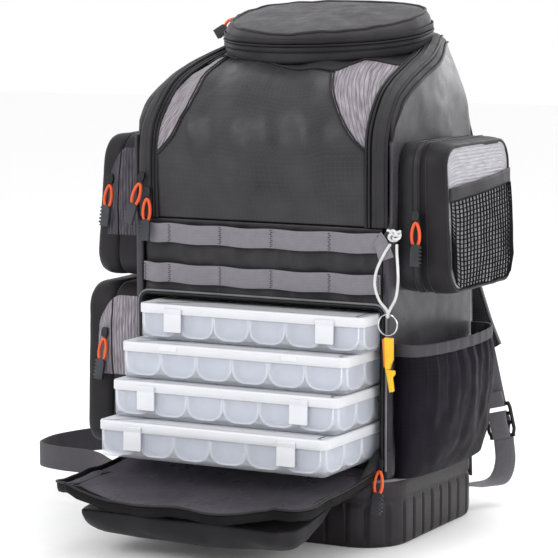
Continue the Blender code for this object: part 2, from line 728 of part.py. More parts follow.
# ---------------------------------------------------------------- zip pulls
def make_pull(name, slider, hang, length=0.058):
    """A slider with its cord loop and toothed grip in one hanging piece.

    slider is the slider's middle on the chain, and hang is the direction in which the pull hangs.
    """
    start, down = Vector(slider), Vector(hang).normalized()
    side = Vector((1, 0, 0)) if abs(down.x) < 0.9 else Vector((0, 1, 0))
    side = (side - down * side.dot(down)).normalized()
    face = side.cross(down).normalized()
    stations = (
        (0.000, 0.0035, 0.0022),
        (0.010, 0.0040, 0.0022),
        (0.012, 0.0015, 0.0012),
        (0.016, 0.0045, 0.0015),
        (0.028, 0.0050, 0.0015),
        (0.034, 0.0025, 0.0022),
        (0.036, 0.0050, 0.0030),
        (length, 0.0062, 0.0030),
    )
    rings = []
    for along, half, thick in stations:
        centre = start + down * along
        rings.append([centre + side * (a * half) + face * (b * thick) for a, b in SQUARE])
    loft(name, rings, GRIP, slider)


PULLS = (
    ("door_pull_upper", (-0.1425, -0.1195, 0.3900), (-0.28, -0.10, -1.0)),
    ("door_pull_lower", (-0.1362, -0.1195, 0.3740), (0.0, -0.10, -1.0)),
    ("tray_zip_pull", (0.1485, -0.1185, 0.0960), (0.02, -0.22, -1.0)),
    ("left_upper_pull", (-0.1960, -0.0985, 0.3850), (-0.12, -0.08, -1.0)),
    ("left_lower_pull", (-0.2020, -0.1035, 0.2120), (-0.12, -0.08, -1.0)),
    ("right_pouch_pull", (0.1790, -0.0990, 0.3600), (0.03, -0.08, -1.0)),
    ("lid_pull", (-0.1225, 0.0720, 0.5600), (-0.80, 0.05, -0.48)),
)


def main():
    for obj in list(bpy.data.objects):
        bpy.data.objects.remove(obj, do_unlink=True)
    make_base()
    make_back_panel()
    make_side_panel("side_panel_right", 1)
    make_side_panel("side_panel_left", -1)
    make_front_band()
    make_opening_zip()
    make_door()
    make_lid_pocket()
    for number, (front, shift, turned) in enumerate(TRAYS, 1):
        make_tray(number, front, shift, turned)
    make_flap()
    make_side_pockets()
    make_bottle_pocket()
    make_straps()
    make_lanyard()
    for pull in PULLS:
        make_pull(*pull)


main()
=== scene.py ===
"""The looks of the tackle backpack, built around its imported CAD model. All sizes are in metres."""

import math

import bmesh
import bpy
from mathutils import Matrix, Vector, noise


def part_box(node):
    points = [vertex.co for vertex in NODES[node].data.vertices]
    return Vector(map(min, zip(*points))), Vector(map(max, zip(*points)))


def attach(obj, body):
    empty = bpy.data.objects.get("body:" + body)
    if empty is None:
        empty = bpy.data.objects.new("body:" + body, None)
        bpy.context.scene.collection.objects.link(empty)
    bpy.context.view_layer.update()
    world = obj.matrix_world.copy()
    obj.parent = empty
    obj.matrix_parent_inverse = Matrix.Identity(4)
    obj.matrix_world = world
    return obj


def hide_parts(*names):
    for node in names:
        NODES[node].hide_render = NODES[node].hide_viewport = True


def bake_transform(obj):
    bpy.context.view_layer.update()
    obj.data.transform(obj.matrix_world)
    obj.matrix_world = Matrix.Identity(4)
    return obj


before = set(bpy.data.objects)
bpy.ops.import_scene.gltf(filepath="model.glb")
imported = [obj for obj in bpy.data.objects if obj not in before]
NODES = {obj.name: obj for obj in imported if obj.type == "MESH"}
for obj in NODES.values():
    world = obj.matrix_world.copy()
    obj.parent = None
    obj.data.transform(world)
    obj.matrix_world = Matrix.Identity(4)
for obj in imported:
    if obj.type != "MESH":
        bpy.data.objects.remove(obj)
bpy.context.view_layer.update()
MIDDLE = Vector((0, 0, 0.28))  # what the camera and the lights face
SIDES = (("left", -1), ("right", 1))


def shown(name, data):
    """A new object in the scene."""
    obj = bpy.data.objects.new(name, data)
    bpy.context.collection.objects.link(obj)
    return obj


# ---------------------------------------------------------------- camera, light and floor
def make_camera():
    """The camera stands in front and to the right, a little above the bag's middle."""
    azimuth, elevation, distance = math.radians(28), math.radians(6.85), 2.745
    back = Vector((math.sin(azimuth), -math.cos(azimuth), 0)) * math.cos(elevation)
    back.z = math.sin(elevation)
    right = Vector((math.cos(azimuth), math.sin(azimuth), 0))
    up = back.cross(right)
    target = MIDDLE - right * 0.0316 - up * 0.0117
    camera = shown("camera", bpy.data.cameras.new("camera"))
    camera.data.lens = 158
    turned = Matrix((right, up, back)).transposed().to_4x4()
    camera.matrix_world = Matrix.Translation(target + back * distance) @ turned
    bpy.context.scene.camera = camera


def area_light(name, place, size, power):
    light = bpy.data.lights.new(name, "AREA")
    light.size = size
    light.energy = power
    lamp = shown(name, light)
    lamp.location = place
    lamp.rotation_euler = (Vector(place) - MIDDLE).to_track_quat("Z", "Y").to_euler()


def make_studio():
    """Four soft lights, a white surround and a paper floor."""
    area_light("key_light", (-1.1, -1.9, 1.7), 1.1, 20)
    area_light("fill_light", (2.2, -0.7, 1.1), 1.4, 13)
    area_light("top_light", (0.3, 0.5, 2.2), 1.2, 14)
    area_light("rear_light", (0.4, 2.2, 1.2), 1.6, 14)
    world = bpy.data.worlds.new("studio")
    world.use_nodes = True
    sky = world.node_tree.nodes["Background"].inputs
    sky["Color"].default_value = (1, 1, 1, 1)
    sky["Strength"].default_value = 1.0
    bpy.context.scene.world = world
    bpy.context.scene.view_settings.view_transform = "Standard"
    mesh = bpy.data.meshes.new("floor")
    reach = 9.0
    corners = [(-reach, -reach, 0), (reach, -reach, 0), (reach, reach, 0), (-reach, reach, 0)]
    mesh.from_pydata(corners, [], [(0, 1, 2, 3)])
    look = Look("floor_paper", (0.93, 0.93, 0.93), 0.9)
    grain = look.noise(40.0, 2.0, object_space=True)
    look.colour_between(grain, (0.955, 0.955, 0.955), (0.98, 0.98, 0.98))
    mesh.materials.append(look.mat)
    shown("floor", mesh)


# ---------------------------------------------------------------- materials
class Look:
    """A procedural material: a Principled BSDF with node patterns in the piece's own metres."""

    def __init__(self, name, colour, roughness, metallic=0.0, sheen=0.0, shine=0.5):
        self.mat = bpy.data.materials.new(name)
        self.mat.use_nodes = True
        self.tree = self.mat.node_tree
        self.shader = self.tree.nodes["Principled BSDF"]
        values = {"Base Color": (*colour, 1), "Roughness": roughness, "Metallic": metallic}
        values.update({"Sheen Weight": sheen, "Specular IOR Level": shine})
        for key, value in values.items():
            self.shader.inputs[key].default_value = value
        self.places = self.tree.nodes.new("ShaderNodeTexCoord")
        self.heights = []

    def add(self, kind, settings=(), inputs=()):
        node = self.tree.nodes.new(kind)
        for key, value in dict(settings).items():
            setattr(node, key, value)
        for key, value in dict(inputs).items():
            if isinstance(value, bpy.types.NodeSocket):
                self.tree.links.new(value, node.inputs[key])
            else:
                node.inputs[key].default_value = value
        return node

    def noise(self, scale, detail=3.0, stretch=(1, 1, 1), object_space=False):
        source = self.places.outputs["Object" if object_space else "UV"]
        mapping = self.add("ShaderNodeMapping", inputs={"Vector": source, "Scale": stretch})
        inputs = {"Vector": mapping.outputs[0], "Scale": scale, "Detail": detail}
        return self.add("ShaderNodeTexNoise", inputs=inputs).outputs["Fac"]

    def turns(self, axis, pitch):
        """The number of pitches from the UV's start across u (axis 0) or v (axis 1)."""
        split = self.add("ShaderNodeSeparateXYZ", inputs={0: self.places.outputs["UV"]})
        return self.math("DIVIDE", split.outputs[axis], pitch)

    def lines(self, axis, pitch, width):
        """1 on a line every pitch metres, 0 between."""
        return self.math("LESS_THAN", self.math("FRACT", self.turns(axis, pitch)), width)

    def ripples(self, axis, pitch):
        """A smooth 0 to 1 wave every pitch metres."""
        return self.math("PINGPONG", self.turns(axis, pitch / 2), 1.0)

    def math(self, operation, a, b=0.0):
        return self.add("ShaderNodeMath", {"operation": operation}, {0: a, 1: b}).outputs[0]

    def mix(self, factor, a, b):
        node = self.add("ShaderNodeMix", {"data_type": "RGBA"})
        for socket, value in ((node.inputs[0], factor), (node.inputs[6], a), (node.inputs[7], b)):
            if isinstance(value, bpy.types.NodeSocket):
                self.tree.links.new(value, socket)
            else:
                socket.default_value = (*value, 1) if isinstance(value, tuple) else value
        return node.outputs[2]

    def ramp(self, factor, low, high):
        """Spreads a pattern's values from low..high over the whole of 0..1."""
        return self.add("ShaderNodeMapRange", inputs={0: factor, 1: low, 2: high}).outputs[0]

    def colour(self, socket):
        self.tree.links.new(socket, self.shader.inputs["Base Color"])

    def colour_between(self, factor, a, b):
        self.colour(self.mix(self.ramp(factor, 0.3, 0.7), a, b))

    def rough_between(self, factor, low, high):
        made = self.add("ShaderNodeMapRange", inputs={0: factor, 1: 0.3, 2: 0.7, 3: low, 4: high})
        self.tree.links.new(made.outputs[0], self.shader.inputs["Roughness"])

    def bump(self, height, strength, distance):
        inputs = {"Height": height, "Strength": strength, "Distance": distance}
        node = self.add("ShaderNodeBump", inputs=inputs)
        if self.heights:
            self.tree.links.new(self.heights[-1], node.inputs["Normal"])
        self.heights.append(node.outputs[0])
        self.tree.links.new(node.outputs[0], self.shader.inputs["Normal"])


CLOTH_SHINE = 0.16


def woven(name, dark, pale, roughness, sheen, thread=0.0011, relief=0.00015, ripstop=0.0, shine=CLOTH_SHINE):
    """Cloth: threads both ways, uneven dye, soft shine, and for a ripstop its grid of thicker threads."""
    look = Look(name, pale, roughness, sheen=sheen, shine=shine)
    weave = look.math("MULTIPLY", look.ripples(0, thread), look.ripples(1, thread))
    patches = look.noise(28.0, 4.0, object_space=True)
    tint = look.mix(look.ramp(patches, 0.3, 0.7), dark, pale)
    shade = look.mix(0.25, tint, look.mix(weave, dark, pale))
    look.rough_between(look.noise(60.0, 3.0, object_space=True), roughness - 0.08, roughness + 0.08)
    look.bump(weave, 0.5, relief)
    if ripstop:
        grid = look.math("MAXIMUM", look.lines(0, ripstop, 0.12), look.lines(1, ripstop, 0.12))
        lighter = tuple(c * 1.35 for c in pale)
        shade = look.mix(look.math("MULTIPLY", grid, 0.35), shade, lighter)
        look.bump(grid, 0.5, 0.0002)
    look.bump(look.noise(90.0, 3.0, object_space=True), 0.25, 0.00035)
    look.colour(shade)
    return look.mat


def heather(name, dark, pale, streak=1.0, level=False):
    """Marled cloth with ribs, darkened in their grooves as painted shade, and long, uneven pale and dark
    yarns, running along v or, if level, along u.
    """
    look = Look(name, pale, 0.85, sheen=0.05, shine=CLOTH_SHINE)
    fine, coarse = (1100, 70 * streak, 1), (330, 45 * streak, 1)
    if level:
        fine, coarse = (fine[1], fine[0], 1), (coarse[1], coarse[0], 1)
    yarns = look.noise(1.0, 3.0, stretch=fine)
    clumps = look.noise(1.0, 2.0, stretch=coarse)
    both = look.math("ADD", look.math("MULTIPLY", yarns, 0.65), look.math("MULTIPLY", clumps, 0.35))
    ribs = look.ripples(1 if level else 0, 0.0038)
    shade = look.mix(look.ramp(both, 0.30, 0.66), dark, pale)
    # the rib grooves are mixed towards the dark yarn: painted shade where the bump sinks
    look.colour(look.mix(look.math("MULTIPLY", look.ramp(ribs, 0.45, 0.05), 0.62), shade, dark))
    look.bump(ribs, 0.8, 0.0008)
    look.bump(yarns, 0.3, 0.0002)
    return look.mat


def ribbed_webbing(name, dark, pale):
    """Webbing: fine ribs along it, crossed by its picks, with an uneven dye."""
    look = Look(name, pale, 0.7, sheen=0.05, shine=CLOTH_SHINE)
    ribs = look.ripples(0, 0.0016)
    picks = look.ripples(1, 0.0022)
    uneven = look.noise(120.0, 3.0, object_space=True)
    pattern = look.math("ADD", look.math("MULTIPLY", ribs, 0.6), look.math("MULTIPLY", picks, 0.4))
    look.colour(look.mix(0.45, look.mix(pattern, dark, pale), look.mix(uneven, dark, pale)))
    look.bump(pattern, 0.6, 0.0003)
    return look.mat


def moulded(name, dark, pale, roughness, grain=400.0, relief=0.0001, metallic=0.0):
    """Moulded plastic, rubber, braid or metal with a fine grain; a dark one shines less."""
    dull = not metallic and pale[0] < 0.1
    look = Look(name, pale, roughness, metallic, shine=0.3 if dull else 0.5)
    spots = look.noise(grain, 3.0, object_space=True)
    look.colour_between(look.noise(35.0, 3.0, object_space=True), dark, pale)
    look.rough_between(spots, max(0.05, roughness - 0.07), roughness + 0.07)
    look.bump(spots, 0.35, relief)
    return look.mat


def frosted(name, tint, alpha, roughness):
    """Cloudy polypropylene: part clear, part milky, with light passing through it."""
    look = Look(name, tint, roughness)
    cloud = look.noise(45.0, 3.0, object_space=True)
    look.colour_between(cloud, tuple(c * 0.96 for c in tint), tint)
    look.bump(look.noise(300.0, 2.0, object_space=True), 0.2, 0.00008)
    milk = 0.12
    clear = look.add("ShaderNodeBsdfTransparent", inputs={"Color": (0.97, 0.98, 1.0, 1)})
    glow = look.add("ShaderNodeBsdfTranslucent", inputs={"Color": (*tint, 1)})
    milky = look.add("ShaderNodeMixShader", inputs={0: milk, 1: look.shader.outputs[0], 2: glow.outputs[0]})
    mixed = look.add("ShaderNodeMixShader", inputs={0: alpha, 1: clear.outputs[0], 2: milky.outputs[0]})
    look.tree.links.new(mixed.outputs[0], look.tree.nodes["Material Output"].inputs[0])
    return look.mat


COATED = woven("coated_cloth", (0.031, 0.029, 0.035), (0.058, 0.054, 0.065), 0.34, 0.06, shine=0.30)
RIPSTOP = woven(
    "ripstop_cloth", (0.015, 0.014, 0.017), (0.031, 0.029, 0.034), 0.36, 0.05, ripstop=0.0055, shine=0.30
)
POCKET_GREY = woven("pocket_grey", (0.014, 0.013, 0.016), (0.029, 0.027, 0.032), 0.44, 0.05, shine=0.25)
POCKET_CLOTH = woven("pocket_cloth", (0.009, 0.008, 0.010), (0.020, 0.018, 0.022), 0.52, 0.03)
BOTTLE_CLOTH = woven(
    "bottle_cloth", (0.004, 0.0028, 0.0055), (0.010, 0.007, 0.013), 0.58, 0.0, ripstop=0.0050, shine=0.10
)
LINING = woven("lining_cloth", (0.034, 0.029, 0.039), (0.060, 0.052, 0.067), 0.32, 0.08, shine=0.30)
BINDING = woven("binding_tape", (0.003, 0.003, 0.0035), (0.008, 0.008, 0.009), 0.60, 0.0, 0.0008, shine=0.10)
BAND_CLOTH = woven("band_cloth", (0.018, 0.017, 0.020), (0.034, 0.032, 0.037), 0.50, 0.05)
PIPING = woven("piping_cord", (0.13, 0.125, 0.135), (0.21, 0.205, 0.22), 0.50, 0.05, 0.0008)
DARK_PIPING = woven("dark_piping", (0.012, 0.011, 0.013), (0.024, 0.023, 0.027), 0.45, 0.03, 0.0008)
LID_CLOTH = woven("lid_cloth", (0.023, 0.021, 0.0245), (0.042, 0.039, 0.045), 0.44, 0.05)
HEATHER = heather("heather_cloth", (0.095, 0.080, 0.092), (0.40, 0.37, 0.41))
PALE_HEATHER = heather("pale_heather_cloth", (0.26, 0.25, 0.28), (0.56, 0.55, 0.59), 0.8, level=True)
DARK_HEATHER = heather("dark_heather_cloth", (0.020, 0.018, 0.023), (0.120, 0.108, 0.128))
WEBBING = ribbed_webbing("webbing_weave", (0.130, 0.124, 0.140), (0.235, 0.226, 0.250))
BELT = ribbed_webbing("belt_weave", (0.036, 0.034, 0.040), (0.080, 0.076, 0.086))
AIR_MESH = woven("air_mesh", (0.010, 0.010, 0.012), (0.034, 0.034, 0.039), 0.80, 0.04, 0.0030, 0.0008)
RUBBER = moulded("base_rubber", (0.011, 0.009, 0.0105), (0.021, 0.017, 0.020), 0.45, grain=700.0)
ZIP_COIL = moulded("zip_coil", (0.004, 0.004, 0.005), (0.011, 0.011, 0.012), 0.50)
BUCKLE = moulded("buckle_acetal", (0.008, 0.008, 0.009), (0.018, 0.018, 0.020), 0.35)
GRIP = moulded("grip_rubber", (0.022, 0.024, 0.029), (0.050, 0.053, 0.062), 0.50)
GUNMETAL = moulded("slider_metal", (0.016, 0.016, 0.018), (0.045, 0.045, 0.050), 0.35, metallic=0.7)
ORANGE = moulded("orange_cord", (0.62, 0.070, 0.012), (0.80, 0.12, 0.022), 0.50, 900.0, 0.0003)
WHITE_CORD = moulded("white_braid", (0.52, 0.52, 0.53), (0.70, 0.70, 0.70), 0.65, 1100.0, 0.0004)
STEEL = moulded("ring_steel", (0.50, 0.50, 0.52), (0.72, 0.72, 0.74), 0.22, metallic=1.0)
YELLOW = moulded("clipper_yellow", (0.72, 0.40, 0.008), (0.85, 0.52, 0.008), 0.38)
AMBER = moulded("clipper_orange", (0.62, 0.15, 0.01), (0.75, 0.21, 0.01), 0.38)
STITCH = moulded("stitching", (0.030, 0.030, 0.034), (0.055, 0.055, 0.062), 0.7)
BOARD = moulded("board_cloth", (0.012, 0.012, 0.013), (0.024, 0.024, 0.027), 0.8)
BOX_LID = frosted("box_lid", (0.78, 0.79, 0.82), 0.93, 0.32)
BOX_WALL = frosted("box_wall", (0.86, 0.88, 0.93), 0.32, 0.28)
BOX_CELL = frosted("box_cell", (0.66, 0.69, 0.79), 0.93, 0.40)
BOX_RIDGE = frosted("box_ridge", (0.88, 0.89, 0.92), 0.85, 0.30)


# ---------------------------------------------------------------- mesh tools
def clamp(value):
    return min(1.0, max(0.0, value))


def between(low, high, count):
    """count + 1 evenly spread values, both ends included."""
    return [low + (high - low) * i / count for i in range(count + 1)]


def radial(place, centre_y):
    """The level direction away from an upright axis through (0, centre_y)."""
    return Vector((place.x, place.y - centre_y, 0)).normalized()


def lookup(points, at):
    """The value at a place, along straight runs between (place, value) pairs."""
    for (a, va), (b, vb) in zip(points, points[1:]):
        if at <= b:
            return va + (vb - va) * max(0.0, at - a) / (b - a)
    return points[-1][1]


def spline(points, count):
    """Points spread along a smooth curve through the given ones."""
    knots = [Vector(p) for p in points]
    knots = [2 * knots[0] - knots[1], *knots, 2 * knots[-1] - knots[-2]]
    spans = len(knots) - 3
    result = []
    for i in range(count):
        place = spans * i / (count - 1)
        k = min(int(place), spans - 1)
        t = place - k
        a, b, c, d = knots[k : k + 4]
        result.append(
            0.5 * (2 * b + (c - a) * t + (2 * a - 5 * b + 4 * c - d) * t * t + (3 * b - a - 3 * c + d) * t**3)
        )
    return result


def piece(name, points, faces, mat, body, slot, uvs=None):
    """A mesh piece riding on a body. uvs are one (u, v) in metres for each point, or None for box mapping."""
    mesh = bpy.data.meshes.new(name)
    mesh.from_pydata([tuple(p) for p in points], [], faces)
    mesh.materials.append(mat)
    mesh.shade_smooth()
    obj = shown(name, mesh)
    if uvs is None:
        box_mapped(mesh)
    else:
        layer = mesh.uv_layers.new(name="UVMap")
        for loop in mesh.loops:
            layer.data[loop.index].uv = uvs[loop.vertex_index]
    mesh.set_sharp_from_angle(angle=math.radians(50))
    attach(obj, body)
    return obj


def box_mapped(mesh):
    """UVs in metres, each face mapped along the two axes that it faces least."""
    layer = mesh.uv_layers.get("UVMap") or mesh.uv_layers.new(name="UVMap")
    for face in mesh.polygons:
        across = max(range(3), key=lambda k: abs(face.normal[k]))
        first, second = [(1, 2), (0, 2), (0, 1)][across]
        for corner in face.loop_indices:
            place = mesh.vertices[mesh.loops[corner].vertex_index].co
            layer.data[corner].uv = (place[first], place[second])


def thickened(obj, thickness, offset):
    shell = obj.modifiers.new("Thickness", "SOLIDIFY")
    shell.thickness = thickness
    shell.offset = offset


def rounded(obj, width, segments=1):
    edges = obj.modifiers.new("Edges", "BEVEL")
    edges.width = width
    edges.segments = segments


def grid(name, rows, mat, body, thickness=0.0, slot=None, closed=False):
    """A sheet through rows of points with UVs along its own lengths, thickened inward if asked."""
    across = len(rows[0])
    points = [Vector(p) for row in rows for p in row]
    uvs, v = [], 0.0
    for r in range(len(rows)):
        if r:
            v += (points[r * across + across // 2] - points[(r - 1) * across + across // 2]).length
        u = 0.0
        for c in range(across):
            if c:
                u += (points[r * across + c] - points[r * across + c - 1]).length
            uvs.append((u, v))
    faces = []
    for r in range(len(rows) - 1):
        for c in range(across - 1 + closed):
            a, b = r * across + c, r * across + (c + 1) % across
            faces.append((a, b, b + across, a + across))
    obj = piece(name, points, faces, mat, body, slot, uvs)
    if thickness:
        thickened(obj, thickness, -1.0)
    return obj


def tube_mesh(path, radius, sides=8, closed=False, flat=1.0):
    """Points and faces of a round cord along a path; flat squashes it across its second axis."""
    points, faces = [], []
    count = len(path)
    normal = Vector((0, 0, 1))
    if abs((path[1] - path[0]).normalized().z) > 0.9:
        normal = Vector((0, 1, 0))
    for i in range(count):
        before = path[(i - 1) % count] if closed else path[max(i - 1, 0)]
        after = path[(i + 1) % count] if closed else path[min(i + 1, count - 1)]
        ahead = (after - before).normalized()
        normal = (normal - ahead * normal.dot(ahead)).normalized()
        side = ahead.cross(normal)
        r = radius(i / (count - 1)) if callable(radius) else radius
        for k in range(sides):
            turn = 2 * math.pi * k / sides
            points.append(path[i] + side * (r * math.cos(turn)) + normal * (r * flat * math.sin(turn)))
    for i in range(count - 1 + closed):
        a, b = i * sides, ((i + 1) % count) * sides
        for k in range(sides):
            j = (k + 1) % sides
            faces.append((a + k, a + j, b + j, b + k))
    if not closed:
        faces.append(tuple(range(sides))[::-1])
        faces.append(tuple(len(points) - sides + k for k in range(sides)))
    return points, faces


def ring_mesh(rings, cap_first=False, cap_last=False):
    """Points and faces of a skin over closed rings, its ends capped if asked."""
    count = len(rings[0])
    points = [p for ring in rings for p in ring]
    faces = []
    for r in range(len(rings) - 1):
        a, b = r * count, (r + 1) * count
        faces += [(a + i, a + (i + 1) % count, b + (i + 1) % count, b + i) for i in range(count)]
    if cap_first:
        faces.append(tuple(range(count))[::-1])
    if cap_last:
        faces.append(tuple(len(points) - count + i for i in range(count)))
    return points, faces


def merged(name, parts, mat, body, slot):
    """One piece from several (points, faces) meshes."""
    points, faces = [], []
    for some, more in parts:
        base = len(points)
        points += some
        faces += [tuple(base + i for i in face) for face in more]
    return piece(name, points, faces, mat, body, slot)


def tube(name, path, radius, mat, body, sides=8, closed=False, slot=None):
    return merged(name, [tube_mesh(path, radius, sides, closed)], mat, body, slot)


def slab_mesh(centre, size):
    """A box's points and faces."""
    points = []
    for z in (-0.5, 0.5):
        for y in (-0.5, 0.5):
            for x in (-0.5, 0.5):
                points.append(Vector(centre) + Vector((x * size[0], y * size[1], z * size[2])))
    return points, [(0, 2, 3, 1), (4, 5, 7, 6), (0, 1, 5, 4), (2, 6, 7, 3), (0, 4, 6, 2), (1, 3, 7, 5)]


def crumple(place, seed, scale, strength):
    """A smooth, repeatable shift of a point, for the unevenness of sewn cloth."""
    spot = Vector(place) * scale + Vector((seed, seed * 0.7, -seed))
    return noise.noise(spot) * strength + noise.noise(spot * 2.3) * strength * 0.4


def refined(node, name, mat, body, levels, shape):
    """A CAD node's shape as a fine, rounded mesh, moved along its normals by shape(place, normal)."""
    source = NODES[node]
    bm = bmesh.new()
    bm.from_mesh(source.data)
    bmesh.ops.remove_doubles(bm, verts=bm.verts, dist=0.00002)
    bmesh.ops.dissolve_limit(bm, angle_limit=math.radians(0.4), verts=bm.verts, edges=bm.edges)
    bmesh.ops.triangulate(bm, faces=[f for f in bm.faces if len(f.verts) > 4])
    bmesh.ops.join_triangles(bm, faces=bm.faces, angle_face_threshold=0.7, angle_shape_threshold=0.7)
    crease = bm.edges.layers.float.new("crease_edge")
    for edge in bm.edges:
        if edge.is_manifold and edge.calc_face_angle(0.0) > math.radians(55):
            edge[crease] = 0.85
    mesh = bpy.data.meshes.new(name)
    bm.to_mesh(mesh)
    bm.free()
    rough = shown(name + "_rough", mesh)
    smoother = rough.modifiers.new("Smooth", "SUBSURF")
    smoother.levels = smoother.render_levels = levels
    fine = bpy.data.meshes.new_from_object(rough.evaluated_get(bpy.context.evaluated_depsgraph_get()))
    bpy.data.objects.remove(rough)
    normals = [v.normal.copy() for v in fine.vertices]
    for vertex, normal in zip(fine.vertices, normals):
        vertex.co += normal * shape(vertex.co, normal)
    fine.materials.clear()
    fine.materials.append(mat)
    fine.name = name
    obj = shown(name, fine)
    box_mapped(fine)
    fine.shade_smooth()
    fine.set_sharp_from_angle(angle=math.radians(60))
    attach(obj, body)
    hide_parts(node)


def rounded_outline(x0, x1, y0, y1, radius, steps=6):
    """A rounded rectangle's points, counter-clockwise, as (x, y) pairs."""
    outline = []
    corners = ((x1, y0, -90), (x1, y1, 0), (x0, y1, 90), (x0, y0, 180))
    for x, y, start in corners:
        cx = x - math.copysign(radius, x - (x0 + x1) / 2)
        cy = y - math.copysign(radius, y - (y0 + y1) / 2)
        for i in range(steps + 1):
            angle = math.radians(start + 90 * i / steps)
            outline.append((cx + radius * math.cos(angle), cy + radius * math.sin(angle)))
    return outline


def even(path, step, closed=False):
    """The same path with points about a step apart."""
    if closed:
        path = [*path, path[0]]
    result = []
    for a, b in zip(path, path[1:]):
        count = max(1, round((b - a).length / step))
        result += [a.lerp(b, i / count) for i in range(count)]
    if not closed:
        result.append(path[-1])
    return result


# ---------------------------------------------------------------- the lanyard: the one free cord
LANYARD_DIAMETER = 0.0030
LANYARD_ROUTE = (
    (0.1600, -0.1205, 0.3265),
    (0.1520, -0.1195, 0.3150),
    (0.1440, -0.1200, 0.2980),
    (0.1425, -0.1210, 0.2820),
    (0.1480, -0.1215, 0.2670),
    (0.1560, -0.1215, 0.2580),
    (0.1595, -0.1235, 0.2520),
    (0.1605, -0.1268, 0.2505),
    (0.1615, -0.1300, 0.2525),
    (0.1660, -0.1325, 0.2600),
    (0.1725, -0.1330, 0.2720),
    (0.1745, -0.1320, 0.2880),
    (0.1730, -0.1295, 0.3030),
    (0.1700, -0.1255, 0.3180),
    (0.1680, -0.1215, 0.3265),
)
TAB_ROUTE = (
    (0.1415, -0.1140, 0.3310),
    (0.1470, -0.1172, 0.3270),
    (0.1515, -0.1185, 0.3190),
    (0.1545, -0.1180, 0.3100),
)


def make_lanyard():
    """The white cord on its webbing tab, its knot, and the split ring and clipper that hang on it."""
    line = bpy.data.curves.new("lanyard", "CURVE")
    line.dimensions = "3D"
    run = line.splines.new("POLY")
    path = spline(LANYARD_ROUTE, 90)
    run.points.add(len(path) - 1)
    for point, place in zip(run.points, path):
        point.co = (*place, 1)
    line.bevel_depth = LANYARD_DIAMETER / 2
    line.bevel_resolution = 4
    line.use_fill_caps = True
    line.materials.append(WHITE_CORD)
    cord = shown("lanyard", line)
    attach(cord, "bag")
    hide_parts("lanyard_cord")
    flat_strap("lanyard_tab", spline(TAB_ROUTE, 16), 0.0170, 0.0014, (0.5, 0, 0.85), WEBBING)
    knot = make_knot()
    ring = make_ring()
    make_clipper()


def make_knot():
    """An overhand knot with two short tails."""
    low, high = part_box("lanyard_knot")
    middle = (low + high) / 2
    loops = []
    for i in range(72):
        turn = 2 * math.pi * i / 72
        reach = 0.0042 + 0.0016 * math.cos(3 * turn)
        across = math.sin(3 * turn) * 0.0024
        loops.append(middle + Vector((reach * math.cos(2 * turn) * 1.15, across, reach * math.sin(2 * turn))))
    parts = [tube_mesh(loops, 0.0015, 8, closed=True)]
    for side, rise in ((1, 0.004), (1, 0.0005), (-1, 0.0045)):
        shifts = ((0, 0, 0), (side * 0.0045, -0.001, rise), (side * 0.0078, -0.002, rise * 1.3))
        parts.append(tube_mesh(spline([middle + Vector(shift) for shift in shifts], 8), 0.0014, 8))
    knot = merged("lanyard_knot_braid", parts, WHITE_CORD, "bag", "white_cord")
    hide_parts("lanyard_knot")
    return knot


def make_ring():
    """A split ring: two turns of flat wire."""
    low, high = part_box("split_ring")
    middle = (low + high) / 2
    radius = (high.z - low.z) / 2 - 0.0008
    turns = []
    for i in range(120):
        angle = 4 * math.pi * i / 119
        shift = 0.0007 - 0.0014 * i / 119
        turns.append(middle + Vector((radius * math.cos(angle), shift, radius * math.sin(angle))))
    ring = tube("split_ring_wire", turns, 0.00065, STEEL, "bag", 6, slot="steel")
    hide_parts("split_ring")
    return ring


def make_clipper():
    """The line clipper: a sprung lever over a body with two jaws at its foot."""
    low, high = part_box("line_clipper")
    x, y, tall = (low.x + high.x) / 2, (low.y + high.y) / 2, high.z - low.z

    def plate(outline, thickness):
        """A flat part whose outline gives the distance sideways and the share of the clipper's height."""
        sides = [
            [Vector((x + across, y + half, low.z + share * tall)) for across, share in outline]
            for half in (thickness / 2, -thickness / 2)
        ]
        return ring_mesh(sides, True, True)

    lever = [(-0.0042, 1.0), (0.0048, 0.99), (0.0050, 0.60), (0.0025, 0.50), (0.0016, 0.42), (-0.0030, 0.42)]
    arm = [(-0.0046, 0.97), (-0.0032, 0.98), (-0.0028, 0.50), (-0.0046, 0.45), (-0.0066, 0.97)]
    jaws = [(-0.0030, 0.42), (0.0070, 0.40), (0.0072, 0.33), (0.0045, 0.27)]
    jaws += [(0.0062, 0.02), (0.0020, 0.0), (-0.0012, 0.30)]
    parts = [plate(lever, 0.0056), plate(jaws, 0.0050)]
    clipper = merged("line_clipper_body", parts, YELLOW, "bag", "yellow_plastic")
    rounded(clipper, 0.0005, 2)
    spring = merged("line_clipper_spring", [plate(arm, 0.0044)], AMBER, "bag", "yellow_plastic")
    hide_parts("line_clipper")
    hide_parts("line_clipper")


# ---------------------------------------------------------------- the door's curved surface
# the bag's side outline above the hinge: depth, height and half width
SHOULDER = (
    (-0.1120, 0.342, 0.1500),
    (-0.1125, 0.400, 0.1500),
    (-0.1080, 0.441, 0.1490),
    (-0.0830, 0.475, 0.1470),
    (-0.0530, 0.494, 0.1460),
    (-0.0100, 0.509, 0.1430),
    (0.0300, 0.520, 0.1380),
    (0.0700, 0.531, 0.1270),
    (0.1060, 0.541, 0.1150),
)
ZIP_WIDTH = 0.022
DOOR_CROWN = 0.016  # how far the door's middle stands out
HINGE_HEIGHT = 0.342
TOP_HEIGHT = 0.5408
LINE = spline(SHOULDER, 241)


